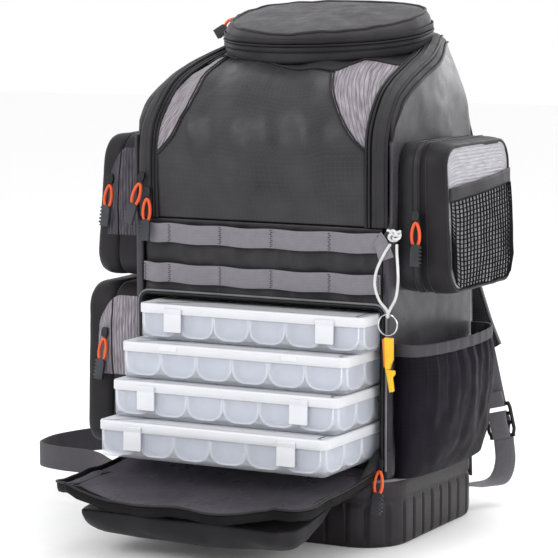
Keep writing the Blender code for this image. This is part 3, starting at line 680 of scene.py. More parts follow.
def station(z):
    """Depth, half width and outward direction of the bag's side outline where it passes a height."""
    k = 1
    while k < len(LINE) - 1 and LINE[k].y < z:
        k += 1
    a, b = LINE[k - 1], LINE[k]
    t = (z - a.y) / max(1e-9, b.y - a.y)
    place = a.lerp(b, clamp(t))
    ahead = LINE[min(k + 1, len(LINE) - 1)] - LINE[max(k - 2, 0)]
    return place.x, place.z, Vector((0, -ahead.y, ahead.x)).normalized()


def door_edge(z):
    return station(z)[1] - ZIP_WIDTH - 0.0004


def on_door(z, x, lift=0.0):
    """A place on the door's outer side, by the outline's height and the distance sideways."""
    y, half, out = station(z)
    rise = min(1.0, (z - HINGE_HEIGHT) / 0.080)
    across = min(1.0, abs(x) / (half - ZIP_WIDTH))
    crown = DOOR_CROWN * rise * rise * (3 - 2 * rise) * (1 - across * across)
    return Vector((x, y, z)) + out * (crown + lift)


# the door's seams: a height and the distance sideways, or for the yoke's edge the other way round
LEFT_SEAM = (
    (0.412, -0.1270),
    (0.432, -0.1060),
    (0.457, -0.0915),
    (0.473, -0.0885),
    (0.487, -0.0905),
    (0.5065, -0.0885),
)
RIGHT_SEAM = (
    (0.4215, 0.1270),
    (0.432, 0.1145),
    (0.448, 0.0990),
    (0.463, 0.0860),
    (0.479, 0.0730),
    (0.4925, 0.0625),
)
HEATHER_TOP = ((0.5055, 0.0830), (0.5090, 0.1150))
YOKE_EDGE = (
    (-0.1230, 0.5080),
    (-0.0885, 0.5065),
    (-0.0550, 0.5005),
    (-0.0170, 0.4955),
    (0.0310, 0.4910),
    (0.0625, 0.4925),
    (0.0830, 0.5055),
    (0.1150, 0.5090),
)


def left_seam(z):
    return -door_edge(z) if z <= LEFT_SEAM[0][0] else lookup(LEFT_SEAM, z)


def right_seam(z):
    return door_edge(z) if z <= RIGHT_SEAM[0][0] else lookup(RIGHT_SEAM + HEATHER_TOP, z)


def door_fold(place):
    """Soft, mostly upright folds of the door's padded cloth, dying away towards its hinge."""
    near_hinge = clamp((place.z - 0.345) / 0.045)
    long_folds = noise.noise(Vector((place.x * 30 + place.z * 6, 0.7, place.z * 6))) * 0.0066
    return (long_folds + crumple(place, 3.1, 34, 0.0011)) * near_hinge - 0.0010 * (1 - near_hinge)


def slanted(panel, lean):
    """Lays a cloth's ribs straight down the panel, leaning outward as they go."""
    mesh = panel.data
    layer = mesh.uv_layers["UVMap"]
    for loop in mesh.loops:
        place = mesh.vertices[loop.vertex_index].co
        layer.data[loop.index].uv = (place.x + lean * place.z, place.z * 1.2)


def door_panel(name, left, right, low, high, size, mat, lift=0.0):
    rows = []
    for r in range(size[1] + 1):
        row = []
        for c in range(size[0] + 1):
            x, z = 0.0, low
            for _ in range(3):
                top, bottom = (f(x) if callable(f) else f for f in (high, low))
                z = bottom + (top - bottom) * r / size[1]
                x = left(z) + (right(z) - left(z)) * c / size[0]
            place = on_door(z, x)
            row.append(on_door(z, x, lift + door_fold(place)))
        rows.append(row)
    panel = grid(name, rows, mat, "door", 0.003, "ripstop")
    if mat == HEATHER:
        slanted(panel, 0.5 if "right" in name else -0.5)
    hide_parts("door_shell")
    return panel


def make_door():
    """The front door: ripstop middle, marled cloth at the upper corners, a plain yoke, seams and two zips."""
    def yoke(x):
        return lookup(YOKE_EDGE, x)

    def far_left(z):
        return -door_edge(z)

    def sewn(z, x, lift):
        return on_door(z, x, lift + door_fold(on_door(z, x)))

    door_panel("door_centre", left_seam, right_seam, HINGE_HEIGHT + 0.0006, yoke, (70, 80), RIPSTOP)
    left_foot, right_foot, size = LEFT_SEAM[0][0], RIGHT_SEAM[0][0], (18, 44)
    door_panel("door_heather_left", far_left, left_seam, left_foot, 0.5065, size, HEATHER, 0.0003)
    door_panel("door_heather_right", right_seam, door_edge, right_foot, 0.5090, size, HEATHER, 0.0003)
    door_panel("door_yoke", far_left, door_edge, yoke, TOP_HEIGHT, (60, 20), BAND_CLOTH, 0.0008)
    seams = []
    for seam in (LEFT_SEAM, RIGHT_SEAM):
        for shift in (-0.0018, 0.0018):
            heights = between(seam[0][0], seam[-1][0], 40)
            seams.append(tube_mesh([sewn(z, lookup(seam, z) + shift, 0.0008) for z in heights], 0.0009, 6))
    edge = [sewn(yoke(x), x, 0.0010) for x in between(YOKE_EDGE[0][0], YOKE_EDGE[-1][0], 60)]
    seams.append(tube_mesh(edge, 0.0014, 6))
    merged("door_seams", seams, DARK_PIPING, "door", "ripstop")
    for word, side in SIDES:
        make_door_zip(word, side)


def make_door_zip(word, side):
    """The curved zip beside the door: its black tape and coil, and a grey cover strip with two ridges."""
    heights = between(HINGE_HEIGHT, TOP_HEIGHT, 90)

    def across(z, share, lift):
        """A place at a share of the zip's width, from the door's edge outward."""
        return on_door(z, side * (station(z)[1] - ZIP_WIDTH * (1 - share)), lift)

    def uneven(z, share, lift):
        return across(z, share, lift + crumple(on_door(z, share), 8 + side, 30, 0.0005))

    tape = ((0.02, -0.0004), (0.10, 0.0004), (0.20, 0.0003), (0.34, 0.0004))
    cover = [(0.32, 0.0012), (0.36, 0.0026), (0.44, 0.0018), (0.56, 0.0013), (0.60, 0.0021)]
    cover += [(0.64, 0.0013), (0.80, 0.0006), (0.92, -0.0008), (1.0, -0.0030)]
    for part, profile, mat in (("tape", tape, BINDING), ("cover", cover, BAND_CLOTH)):
        rows = [[uneven(z, *stage) for stage in profile] for z in heights]
        made = grid(f"door_zip_{word}_{part}", rows, mat, "bag", 0.0018, "zip_tape")
        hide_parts(f"door_zip_{word}")
    cords = (
        (f"door_zip_{word}_coil", 0.17, 0.0012, 0.0016, ZIP_COIL, "bag"),
        (f"door_piping_{word}", -0.01, 0.0006, 0.0017, DARK_PIPING, "door"),
        (f"door_edge_piping_{word}", 1.0, -0.0022, 0.0018, DARK_PIPING, "bag"),
    )
    for name, share, lift, radius, mat, body in cords:
        tube(name, [across(z, share, lift) for z in heights], radius, mat, body, slot="zip_tape")


# ---------------------------------------------------------------- base, walls and front band
BASE_HALF_WIDTH = 0.164
BASE_FRONT = -0.130
BASE_BACK = 0.122


def walk(outline, step):
    """A closed outline's points about a step apart, with the length walked so far."""
    loop = [Vector((x, y, 0)) for x, y in outline]
    points = even(loop, step, closed=True)
    lengths, total = [], 0.0
    for i, place in enumerate(points):
        if i:
            total += (place - points[i - 1]).length
        lengths.append(total)
    return points, lengths


def make_base():
    """The moulded tub: a wall with upright grooves all round, a rim above it and a floor inside."""
    outline = rounded_outline(-BASE_HALF_WIDTH, BASE_HALF_WIDTH, BASE_FRONT, BASE_BACK, 0.050, 12)
    points, lengths = walk(outline, 0.0016)
    middle = Vector((0, (BASE_FRONT + BASE_BACK) / 2, 0))
    rib = 0.0235
    total = lengths[-1] + (points[0] - points[-1]).length
    rib = total / round(total / rib)
    # each stage's height, inset and share of the grooves' depth, up the outside and down the inside
    stages = [(0.0, 0.004, 0), (0.002, 0.0015, 0.4), (0.005, 0.0004, 1), (0.012, 0.0, 1), (0.022, 0.0, 1)]
    stages += [(0.034, 0.0, 1), (0.042, 0.0002, 1), (0.046, 0.0008, 0.7), (0.0485, 0.0022, 0)]
    stages += [(0.0505, 0.0022, 0), (0.0520, 0.0006, 0), (0.056, 0.0, 0), (0.064, 0.0002, 0)]
    stages += [(0.069, 0.0006, 0), (0.0715, 0.0016, 0), (0.0719, 0.0040, 0), (0.0716, 0.0070, 0)]
    stages += [(0.060, 0.0072, 0), (0.030, 0.0072, 0), (0.0062, 0.0074, 0)]
    rows = []
    for z, inset, ribbed in stages:
        row = []
        for place, length in zip(points, lengths):
            turn = abs((length / rib) % 1.0 - 0.5) * 2
            groove = 0.0030 * ribbed * max(0.0, 1 - ((1 - turn) / 0.26) ** 2)
            inward = (middle - place).normalized()
            row.append(place + inward * (inset + groove) + Vector((0, 0, z)))
        rows.append(row)
    tub = grid("base_tub_shell", rows, RUBBER, "bag", slot="rubber_base", closed=True)
    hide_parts("base_tub")
    floor = rounded_outline(-0.1560, 0.1560, BASE_FRONT + 0.008, BASE_BACK - 0.008, 0.044, 12)
    sole = ring_mesh([[Vector((x, y, z)) for x, y in floor] for z in (0.0004, 0.0064)], True, True)
    piece("base_tub_floor", *sole, RUBBER, "bag", slot="rubber_base")
    around = even([Vector((x, y, 0)) for x, y in outline], 0.006, closed=True)
    rim = [p + (middle - p).normalized() * 0.0012 + Vector((0, 0, 0.0722)) for p in around]
    tube("base_piping", rim, 0.0016, PIPING, "bag", 8, closed=True, slot="rubber_base")
    make_shelf()


def make_shelf():
    """The sloping cloth between the base's rim and the bag's walls."""
    half = BASE_HALF_WIDTH - 0.002
    outer = rounded_outline(-half, half, BASE_FRONT + 0.003, BASE_BACK - 0.001, 0.048, 12)
    inner = rounded_outline(-0.1535, 0.1535, -0.1115, 0.1175, 0.020, 12)
    middle = [((ax + bx) / 2, (ay + by) / 2) for (ax, ay), (bx, by) in zip(outer, inner)]
    stages = ((outer, 0.0710), (middle, 0.0735), (inner, 0.0755))
    rows = [[Vector((x, y, z)) for x, y in ring] for ring, z in stages]
    grid("base_shelf", rows, COATED, "bag", 0.0012, "coated_fabric", closed=True)


WALL_HALF_WIDTH = 0.155
WALL_FACE = 0.1556  # where the side pockets and the bottle pocket begin
WALL_FOOT = 0.0724
WALL_BEND = 0.400


def side_width(z, top, top_width):
    """The wall's distance from the middle: straight up to its bend, then leaning in to its top."""
    rise = clamp((z - WALL_BEND) / (top - WALL_BEND))
    return WALL_HALF_WIDTH - (WALL_HALF_WIDTH - top_width) * rise**1.6


def at_depth(y):
    """The bag's side outline where it passes a depth: depth, height and half width."""
    for a, b in zip(LINE, LINE[1:]):
        if b.x >= y > a.x:
            return a.lerp(b, (y - a.x) / (b.x - a.x))
    return LINE[-1] if y > LINE[-1].x else LINE[0]


def wall_fold(place, side):
    """Long slanting folds, shallow behind the pockets."""
    slant = noise.noise(Vector((place.y * 9 + 4 * side, place.z * 16 + place.y * 10, 2.0)))
    above = clamp((place.z - 0.425) / 0.04)
    long_folds = slant * (0.0012 + 0.0022 * above) - 0.0012 + 0.0030 * above
    return long_folds + crumple(place, 5.0 + side, 40, 0.0006)


# the back panel's heights, each with its half width
BACK_OUTLINE = (
    (WALL_FOOT, 0.152),
    (0.425, 0.152),
    (0.471, 0.139),
    (0.504, 0.124),
    (0.528, 0.111),
    (0.541, 0.096),
    (0.547, 0.070),
)


# the wall's two foremost points, each beside the boxes and then above the door's hinge
WALL_FRONT = (((0.1468, -0.1100), (0.1548, -0.1080)), ((0.1525, -0.1085), (0.1556, -0.1060)))


def make_side_wall(word, side):
    """A wall with its top seam, the band that joins it to the zip, and the strip that joins the back."""
    depths = between(-0.1035, 0.1075, 46)
    outline = [SHOULDER[2], *(at_depth(y) for y in depths[1:])]
    rows = []
    for share in between(0.0, 1.0, 90):
        row = []
        for y, (_, edge_height, top_width) in zip(depths, outline):
            top = edge_height - 0.0095
            z = WALL_FOOT + (top - WALL_FOOT) * share
            place = Vector((side_width(z, top, top_width + 0.0056) * side, y, z))
            row.append(place + Vector((side * wall_fold(place, side), 0, 0)))
        z = row[0].z
        turn = clamp((z - 0.334) / 0.014)
        front = [Vector((*low, 0)).lerp(Vector((*high, 0)), turn) for low, high in WALL_FRONT]
        rows.append([Vector((side * p.x, p.y, z)) for p in front] + row)
    wall = grid(f"side_wall_{word}", rows, COATED, "bag", 0.004, "coated_fabric")
    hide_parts(f"side_panel_{word}")
    seam = [place + Vector((side * 0.0008, 0, 0.0004)) for place in rows[-1][2:]]

    def seam_radius(share):
        return 0.0015 * min(1.0, 0.15 + 8 * share)

    tube(f"side_wall_seam_{word}", seam, seam_radius, DARK_PIPING, "bag", slot="coated_fabric")
    joining = []
    for share in (0.0, 0.35, 0.7, 1.0):
        row = []
        for place, y, (_, z, half) in zip(rows[-1][2:], depths, outline):
            edge = Vector((side * (half - 0.0008), y, z - 0.0034))
            out = Vector((side * 0.6, 0, 0.8)) * (0.0016 * math.sin(math.pi * share))
            row.append(place.lerp(edge, share) + out)
        joining.append(row)
    grid(f"side_wall_top_{word}", joining, BAND_CLOTH, "bag", 0.0015, "coated_fabric")
    corner = []
    for row in rows:
        last = row[-1]
        hem = Vector((side * (lookup(BACK_OUTLINE, last.z) - 0.0010), 0.1118, last.z))
        bulge = Vector((side * 0.0012, 0.0006, 0))
        corner.append([last + Vector((side * -0.0012, -0.0040, 0)), last, last.lerp(hem, 0.5) + bulge, hem])
    grid(f"side_wall_corner_{word}", corner, COATED, "bag", 0.0015, "coated_fabric")


BAND_LOW, BAND_HIGH, BAND_HALF_WIDTH = 0.2546, 0.3405, 0.1446
TACKS = (-0.143, -0.112, -0.048, 0.015, 0.085, 0.143)
MOLLE_ROWS = (("upper", 0.3130), ("lower", 0.2690))


def tack_pull(x, z):
    """How far the nearest bar tack draws the cloth in, 0 to 1."""
    near = min(abs(x - tack) for tack in TACKS)
    row = min(abs(z - bottom - 0.0118) for _, bottom in MOLLE_ROWS)
    return max(0.0, 1 - near / 0.022) * max(0.0, 1 - row / 0.028)


def make_front_band():
    """Cloth over the boxes, drawn in by the bar tacks of two webbing rows."""
    rows = []
    for z in between(BAND_LOW, BAND_HIGH, 60):
        row = []
        for x in between(-BAND_HALF_WIDTH, BAND_HALF_WIDTH, 140):
            puff = 0.0022 * (1 - tack_pull(x, z)) * (0.6 + 0.4 * math.cos((z - 0.3028) / 0.044 * 2 * math.pi))
            inside = clamp((0.3385 - z) / 0.012)
            crease = abs(noise.noise(Vector((x * 44, z * 11 + x * 8, 4.4)))) * 0.0060 * inside
            row.append(Vector((x, -0.1089 - puff + crease, z)))
        rows.append(row)
    stages = ((-0.1068, 0.334), (-0.1072, 0.342), (-0.1068, 0.352))
    hinge = [[Vector((x, y, z)) for x in between(-0.1495, 0.1495, 20)] for y, z in stages]
    grid("door_hinge_binding", hinge, BINDING, "bag", 0.001, "coated_fabric")
    band = grid("front_band_cloth", rows, POCKET_GREY, "bag", 0.003, "coated_fabric")
    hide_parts("front_band")
    for word, bottom in MOLLE_ROWS:
        path, stitches = [], []
        for x in between(-0.1450, 0.1450, 116):
            a = max(t for t in (-0.1451, *TACKS) if t <= x + 1e-6)
            b = min((t for t in (*TACKS, 0.1451) if t > a), default=0.1451)
            bow = 0.0028 * math.sin(math.pi * clamp((x - a) / (b - a))) ** 2 if b - a > 0.01 else 0.0
            sag = 0.0012 * math.sin((x + 0.145) / 0.29 * math.pi) + bow * 0.35
            path.append(Vector((x, -0.1128 - bow, bottom + 0.01175 - sag + 0.0012)))
        strap = flat_strap(f"molle_webbing_{word}", path, 0.0212, 0.0018, (0, 0, 1), WEBBING)
        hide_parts(f"molle_strap_{word}")
        for tack in TACKS:
            for k in range(9):
                z = bottom + 0.0032 + 0.0022 * k
                lean = 0.0011 if k % 2 else -0.0011
                stitches.append(slab_mesh((tack + lean * 0.5, -0.1141, z), (0.0020, 0.0006, 0.0008)))
        merged(f"molle_tacks_{word}", stitches, STITCH, "bag", "webbing")


def flat_strap(name, path, width, thickness, across, mat):
    """A woven strap along a path, its width lying in the direction across."""
    rows = []
    for i, centre in enumerate(path):
        ahead = path[min(i + 1, len(path) - 1)] - path[max(i - 1, 0)]
        side = Vector(across)
        side = (side - ahead * (side.dot(ahead) / ahead.length_squared)).normalized()
        rows.append([centre + side * (width * share) for share in between(-0.5, 0.5, 4)])
    strap = grid(name, rows, mat, "bag", slot="webbing")
    thickened(strap, thickness, 0.0)
    rounded(strap, thickness * 0.3, 2)
    return strap


def make_opening():
    """The zip round the box compartment's opening, with its grey piping."""
    inner, low, high = 0.1452, 0.0830, 0.2556

    def arch(offset, y):
        """The inverted U at a distance out from the opening's inner edge."""
        x, top = inner + offset, high + offset * 0.7
        radius = 0.006 + offset
        path = [Vector((x, y, low)), Vector((x, y, top - radius))]
        path += [
            Vector((x - radius + radius * math.cos(a), y, top - radius + radius * math.sin(a)))
            for a in (math.pi / 2 * k / 6 for k in range(7))
        ]
        return even(path + [Vector((-p.x, p.y, p.z)) for p in reversed(path)], 0.005)

    profile = ((0.0, -0.1112), (0.0012, -0.1124), (0.0030, -0.1126), (0.0052, -0.1124), (0.0066, -0.1114))
    counts = [arch(offset, y) for offset, y in profile]
    least = min(len(c) for c in counts)
    rows = [[c[round(i * (len(c) - 1) / (least - 1))] for i in range(least)] for c in counts]
    tape = grid("opening_zip_tape", rows, BINDING, "bag", 0.0010, "zip_tape")
    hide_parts("tray_opening_zip")
    tube("opening_zip_coil", arch(0.0030, -0.1136), 0.0014, ZIP_COIL, "bag", slot="zip_tape")
    tube("opening_piping", arch(0.0070, -0.1126), 0.0013, PIPING, "bag", slot="zip_tape")


# ---------------------------------------------------------------- the pocket on top
LID_CENTRE, LID_FRONT, LID_BACK, LID_HALF = 0.045, -0.060, 0.1045, 0.117
LID_POINTS = 120


# height at the pocket's front, rise towards its back, fall towards its sides
LID_RIM = (0.5300, 0.155, 0.35)
LID_TOP = (0.5430, 0.215, 0.15)
LID_CLEARANCE = 0.0085  # from the door to the zip


def lid_height(shape, x, y):
    height, slope, fall = shape
    return height + slope * (y - LID_FRONT) - fall * x * x


def lid_outline():
    """The top pocket's outline: a rounded front and a squarer back."""
    outline = []
    for k in range(LID_POINTS):
        c, s = math.cos(2 * math.pi * k / LID_POINTS), math.sin(2 * math.pi * k / LID_POINTS)
        power, depth = (1.85, LID_CENTRE - LID_FRONT) if s < 0 else (4.2, LID_BACK - LID_CENTRE)
        x = LID_HALF * math.copysign(abs(c) ** (2 / power), c)
        outline.append((x, LID_CENTRE + depth * math.copysign(abs(s) ** (2 / power), s)))
    return outline


DOOR_RINGS = [(z, *station(z)) for z in between(0.46, TOP_HEIGHT, 60)]


def cap_last_ring(obj, count):
    """Closes the hole that a grid's innermost ring leaves, facing the way its neighbours face."""
    mesh = bmesh.new()
    mesh.from_mesh(obj.data)
    mesh.verts.ensure_lookup_table()
    mesh.faces.ensure_lookup_table()
    mesh.normal_update()
    last = mesh.verts[-count:]
    around = sum((f.normal for f in last[0].link_faces), Vector())
    cap = mesh.faces.new(last)
    cap.smooth = True
    cap.normal_update()
    if cap.normal.dot(around) < 0:
        cap.normal_flip()
    mesh.to_mesh(obj.data)
    mesh.free()


def door_top(x, y):
    """The height of the door's outer side above a place on its top."""
    before = None
    for z, depth, half, out in DOOR_RINGS:
        across = min(1.0, abs(x) / (half - ZIP_WIDTH))
        crown = DOOR_CROWN * (1 - across * across)
        place = (depth + out.y * crown, z + out.z * crown)
        if before and before[0] <= y <= place[0]:
            return before[1] + (place[1] - before[1]) * (y - before[0]) / (place[0] - before[0])
        before = place
    return before[1] if y > before[0] else DOOR_RINGS[0][0]


def lid_rim(x, y):
    """The height of the zip round the top pocket, which stays clear of the door under it."""
    return max(lid_height(LID_RIM, x, y), door_top(x, y) + LID_CLEARANCE)


def make_lid_pocket():
    """The top pocket: a wall and a floor on the door, a domed cover over them, and the zip between."""
    outline = lid_outline()
    doors = [door_top(x, y) for x, y in outline]

    def at(share):
        return [(share * x, LID_CENTRE + share * (y - LID_CENTRE)) for x, y in outline]

    rim = [lid_rim(x, y) for x, y in outline]
    band = []
    for share, rise in ((0.985, -0.02), (1.0, 0.12), (1.006, 0.45), (1.004, 0.8), (0.998, 1.0)):
        row = []
        for (x, y), z, d in zip(at(share), rim, doors):
            place = Vector((x, y, d + 0.0026 + (z - d - 0.0030) * rise))
            row.append(place + radial(place, LID_CENTRE) * crumple(place, 2.2, 45, 0.0012))
        band.append(row)
    body = grid("lid_pocket_wall", band, BAND_CLOTH, "door", 0.002, "coated_fabric", closed=True)
    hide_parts("lid_pocket_body")
    shares = (0.98, 0.6, 0.25, 0.02)
    floor = [[Vector((x, y, door_top(x, y) + 0.004)) for x, y in at(share)] for share in shares]
    under = grid("lid_pocket_floor", floor, BINDING, "door", 0.001, "lining", closed=True)
    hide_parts("lid_pocket_body")

    shell = []
    # each ring's share of the outline and of the height from the zip to the top, from the zip inward
    profile = [(1.0, 0.03), (1.003, 0.20), (0.998, 0.42), (0.985, 0.62), (0.962, 0.78), (0.945, 0.835)]
    profile += [(0.90, 0.89), (0.83, 0.94), (0.72, 0.98), (0.58, 1.01), (0.42, 1.03), (0.26, 1.04)]
    profile += [(0.12, 1.04), (0.05, 1.04)]
    for share, rise in profile:
        row = []
        for (x, y), z in zip(at(share), rim):
            z += (lid_rim(x, y) - z) * (1 - share)
            top = max(lid_height(LID_TOP, x, y), z + 0.006)
            place = Vector((x, y, z + 0.0006 + (top - z) * rise))
            wrinkle = noise.noise(Vector((x * 26 + y * 30, y * 12 - x * 9, 6.0))) * 0.0017
            wrinkle = wrinkle * min(1.0, rise * 1.2) + crumple(place, 1.3, 60, 0.0008)
            row.append(place + Vector((0, 0, wrinkle)))
        shell.append(row)
    cover = grid("lid_pocket_top", shell, LID_CLOTH, "lid_cover", 0.0022, "coated_fabric", closed=True)
    cap_last_ring(cover, LID_POINTS)
    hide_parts("lid_pocket_cover")
    edge = [place + Vector((0, 0, 0.0008)) for place in shell[5]]
    tube("lid_pocket_piping", edge, 0.0016, LID_CLOTH, "lid_cover", 8, closed=True, slot="coated_fabric")

    def zip_path(out, rise=0.0):
        return [place + radial(place, LID_CENTRE) * out + Vector((0, 0, rise)) for place in band[-1]]

    tube("lid_zip_coil", zip_path(0.0024), 0.0013, ZIP_COIL, "door", 8, closed=True, slot="zip_tape")
    tapes = (("lower", "door", -0.0075, -0.0015), ("upper", "lid_cover", 0.0020, 0.0080))
    for word, owner, low, high in tapes:
        tape = [zip_path(0.0026, rise) for rise in between(low, high, 2)]
        grid(f"lid_zip_tape_{word}", tape, DARK_PIPING, owner, 0.0008, "zip_tape", closed=True)


# ---------------------------------------------------------------- the utility boxes
TRAY_LENGTH, TRAY_DEPTH = 0.275, 0.180
TRAY_PITCH = 0.0395  # from one box to the next
TRAY_BOTTOM = 0.0934  # the lowest box's underside
TRAY_LIP = 0.0105  # how far a lid reaches down its walls
FRONT_CELLS, SIDE_CELLS = 6, 4
BOX_CORNER = 0.0096
WALL_INSET = 0.0016  # from the lid's edge to the wall under it
CELL_END, CELL_GAP = 0.006, 0.0012  # left free at a row's ends and beside each cell


def make_tray(number, front, shift, turned):
    """A utility box: lid plate, clear walls and floor, cells, latches, and a turned one's hinge marks."""
    bottom = TRAY_BOTTOM + TRAY_PITCH * (4 - number)
    top = bottom + TRAY_PITCH - 0.0004
    x0, x1, y0, y1 = shift - TRAY_LENGTH / 2, shift + TRAY_LENGTH / 2, front, front + TRAY_DEPTH
    body = f"tray_{number}"

    def skin(stages, cap_first=False):
        """A skin over rounded rectangles, each given as its inset and its height."""
        rings = []
        for inset, z in stages:
            outline = rounded_outline(x0 + inset, x1 - inset, y0 + inset, y1 - inset, BOX_CORNER - inset, 5)
            rings.append([Vector((x, y, z)) for x, y in outline])
        return ring_mesh(rings, cap_first, cap_last=True)

    lip = top - TRAY_LIP
    lid = [(0.0004, lip), (0.0, lip + 0.0006), (0.0, top - 0.0016), (0.0006, top - 0.0004), (0.0022, top)]
    points, faces = skin(lid + [(0.0048, top - 0.0001), (0.0056, top - 0.0009), (0.0120, top - 0.0009)])
    under, more = skin([(0.0004, lip), (0.0013, lip), (0.0013, top - 0.0020)])
    faces += [tuple(i + len(points) for i in face)[::-1] for face in more]
    plate = piece(f"tray_{number}_lid_plate", points + under, faces, BOX_LID, body, slot="frosted_box")
    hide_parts(f"tray_{number}_lid")
    rim = top - 0.0023
    walls = [(0.0040, bottom), (0.0022, bottom + 0.0012), (0.0016, bottom + 0.0040), (0.0016, rim)]
    shell = skin(walls + [(0.0034, rim), (0.0034, bottom + 0.0050)], cap_first=True)
    box = piece(f"tray_{number}_box", *shell, BOX_WALL, body, slot="frosted_box")
    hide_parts(f"tray_{number}_base")
    make_cells(number, (x0, x1, y0, y1), bottom, lip)
    make_latches(number, y1 if turned else y0, shift, top, turned)
    if turned:
        marks = []
        for low, high in ((0.18, 0.26), (0.72, 0.79)):
            middle = (x0 + TRAY_LENGTH * (low + high) / 2, y0 - 0.0002, top - 0.0045)
            marks.append(slab_mesh(middle, (TRAY_LENGTH * (high - low), 0.0012, 0.0062)))
        hinge = merged(f"tray_{number}_hinge", marks, BOX_RIDGE, body, "frosted_box")
        rounded(hinge, 0.0005)


def make_cells(number, sides, bottom, lip):
    """Round-bottomed compartments behind the walls, each with a white rib round it."""
    x0, x1, y0, y1 = sides
    body = f"tray_{number}"
    cells, ribs = [], []

    def cell(a, b, place, outward):
        """One compartment's outline between two ends, drawn in the plane of a wall."""
        low, high = bottom + 0.0040, lip + 0.0010
        radius = min(0.014, (b - a) / 2 - 0.001)
        path = [(a, high)]
        for turn in between(0.0, math.pi / 2, 7):
            path.append((a + radius - radius * math.cos(turn), low + radius - radius * math.sin(turn)))
        path += [(b - (s - a), z) for s, z in reversed(path)]
        back = [place(s, z) - outward * 0.0030 for s, z in path]
        narrow = [(s + (0.0015 if s < (a + b) / 2 else -0.0015), z + 0.0012) for s, z in path]
        deep = [place(s, z) - outward * 0.0100 for s, z in narrow]
        points, faces = ring_mesh([back, deep])
        cells.append((points, faces[:-1] + [tuple(range(len(deep), 2 * len(deep)))]))
        ribs.append(tube_mesh([p + outward * WALL_INSET for p in back], 0.0010, 6))

    def row(first, last, count, place, outward):
        """Cells side by side along a wall."""
        pitch = (last - first - 2 * CELL_END) / count
        for k in range(count):
            start = first + CELL_END + pitch * k
            cell(start + CELL_GAP, start + pitch - CELL_GAP, place, outward)

    row(x0, x1, FRONT_CELLS, lambda s, z: Vector((s, y0 + WALL_INSET, z)), Vector((0, -1, 0)))
    row(y0, y1, SIDE_CELLS, lambda s, z: Vector((x0 + WALL_INSET, s, z)), Vector((-1, 0, 0)))
    row(y0, y1, SIDE_CELLS, lambda s, z: Vector((x1 - WALL_INSET, s, z)), Vector((1, 0, 0)))
    merged(f"tray_{number}_cells", cells, BOX_CELL, body, "frosted_box")
    merged(f"tray_{number}_ribs", ribs, BOX_RIDGE, body, "frosted_box")


def make_latches(number, face, shift, top, turned):
    """Two snap latches, each with a lip to lift it by and a groove under its hinge."""
    out = 1.0 if turned else -1.0
    hinge, height, width = top - 0.0050, 0.026, 0.021
    # how far out and how high each corner of its side view is, from the box's wall and the hinge
    profile = [(0.0004, 0.0010), (0.0014, 0.0010), (0.0024, 0.0002), (0.0022, -0.0040), (0.0018, -0.0050)]
    profile += [(0.0023, -0.0060), (0.0023, -0.0190), (0.0028, -0.0235), (0.0030, -height + 0.0014)]
    profile += [(0.0022, -height + 0.0010), (0.0008, -height + 0.0024), (0.0006, -0.0180), (0.0004, -0.0120)]
    centre = sum((Vector(p) for p in profile), Vector((0, 0))) / len(profile)
    for word, side in SIDES:
        x = shift + side * 0.0925
        rings = []
        for share, deep, tall in ((-1, 0.88, 0.97), (-0.94, 1.0, 1.0), (0.94, 1.0, 1.0), (1, 0.88, 0.97)):
            rings.append([
                Vector((x + share * width / 2, face + out * (centre.x + (d - centre.x) * deep),
                        hinge + centre.y + (z - centre.y) * tall))
                for d, z in profile
            ])
        node = f"tray_{number}_latch_{word}"
        latch = piece(node + "_clip", *ring_mesh(rings, True, True), BOX_LID, node, slot="frosted_box")
        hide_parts(node)


# ---------------------------------------------------------------- the box compartment's flap
# the flap's depth, height and half width, from its hinge to its tip
FLAP_STATIONS = (
    (-0.1135, 0.0805, 0.1400),
    (-0.1310, 0.0785, 0.1410),
    (-0.1600, 0.0705, 0.1420),
    (-0.2000, 0.0630, 0.1425),
    (-0.2400, 0.0580, 0.1425),
    (-0.2750, 0.0560, 0.1430),
    (-0.2960, 0.0575, 0.1380),
    (-0.3070, 0.0600, 0.1200),
)
FLAP_MIDDLE = -0.17


def on_flap(stage, share):
    """A place on the flap's upper side, which curls up at its sides and waves along its tip."""
    y, z, half = stage
    curl = 0.013 * clamp((-0.130 - y) / 0.100) * abs(share) ** 3
    out = clamp((-0.20 - y) / 0.09)
    wave = 0.0015 * math.sin(share * 5.2 + 1.1) + 0.0007 * math.sin(share * 11.0 + 0.4)
    wave *= out * (1 - 0.3 * abs(share))
    place = Vector((half * share, y, z + curl + wave))
    return place + Vector((0, 0, crumple(place, 9.0, 26, 0.0016) * clamp((-0.118 - y) / 0.02)))


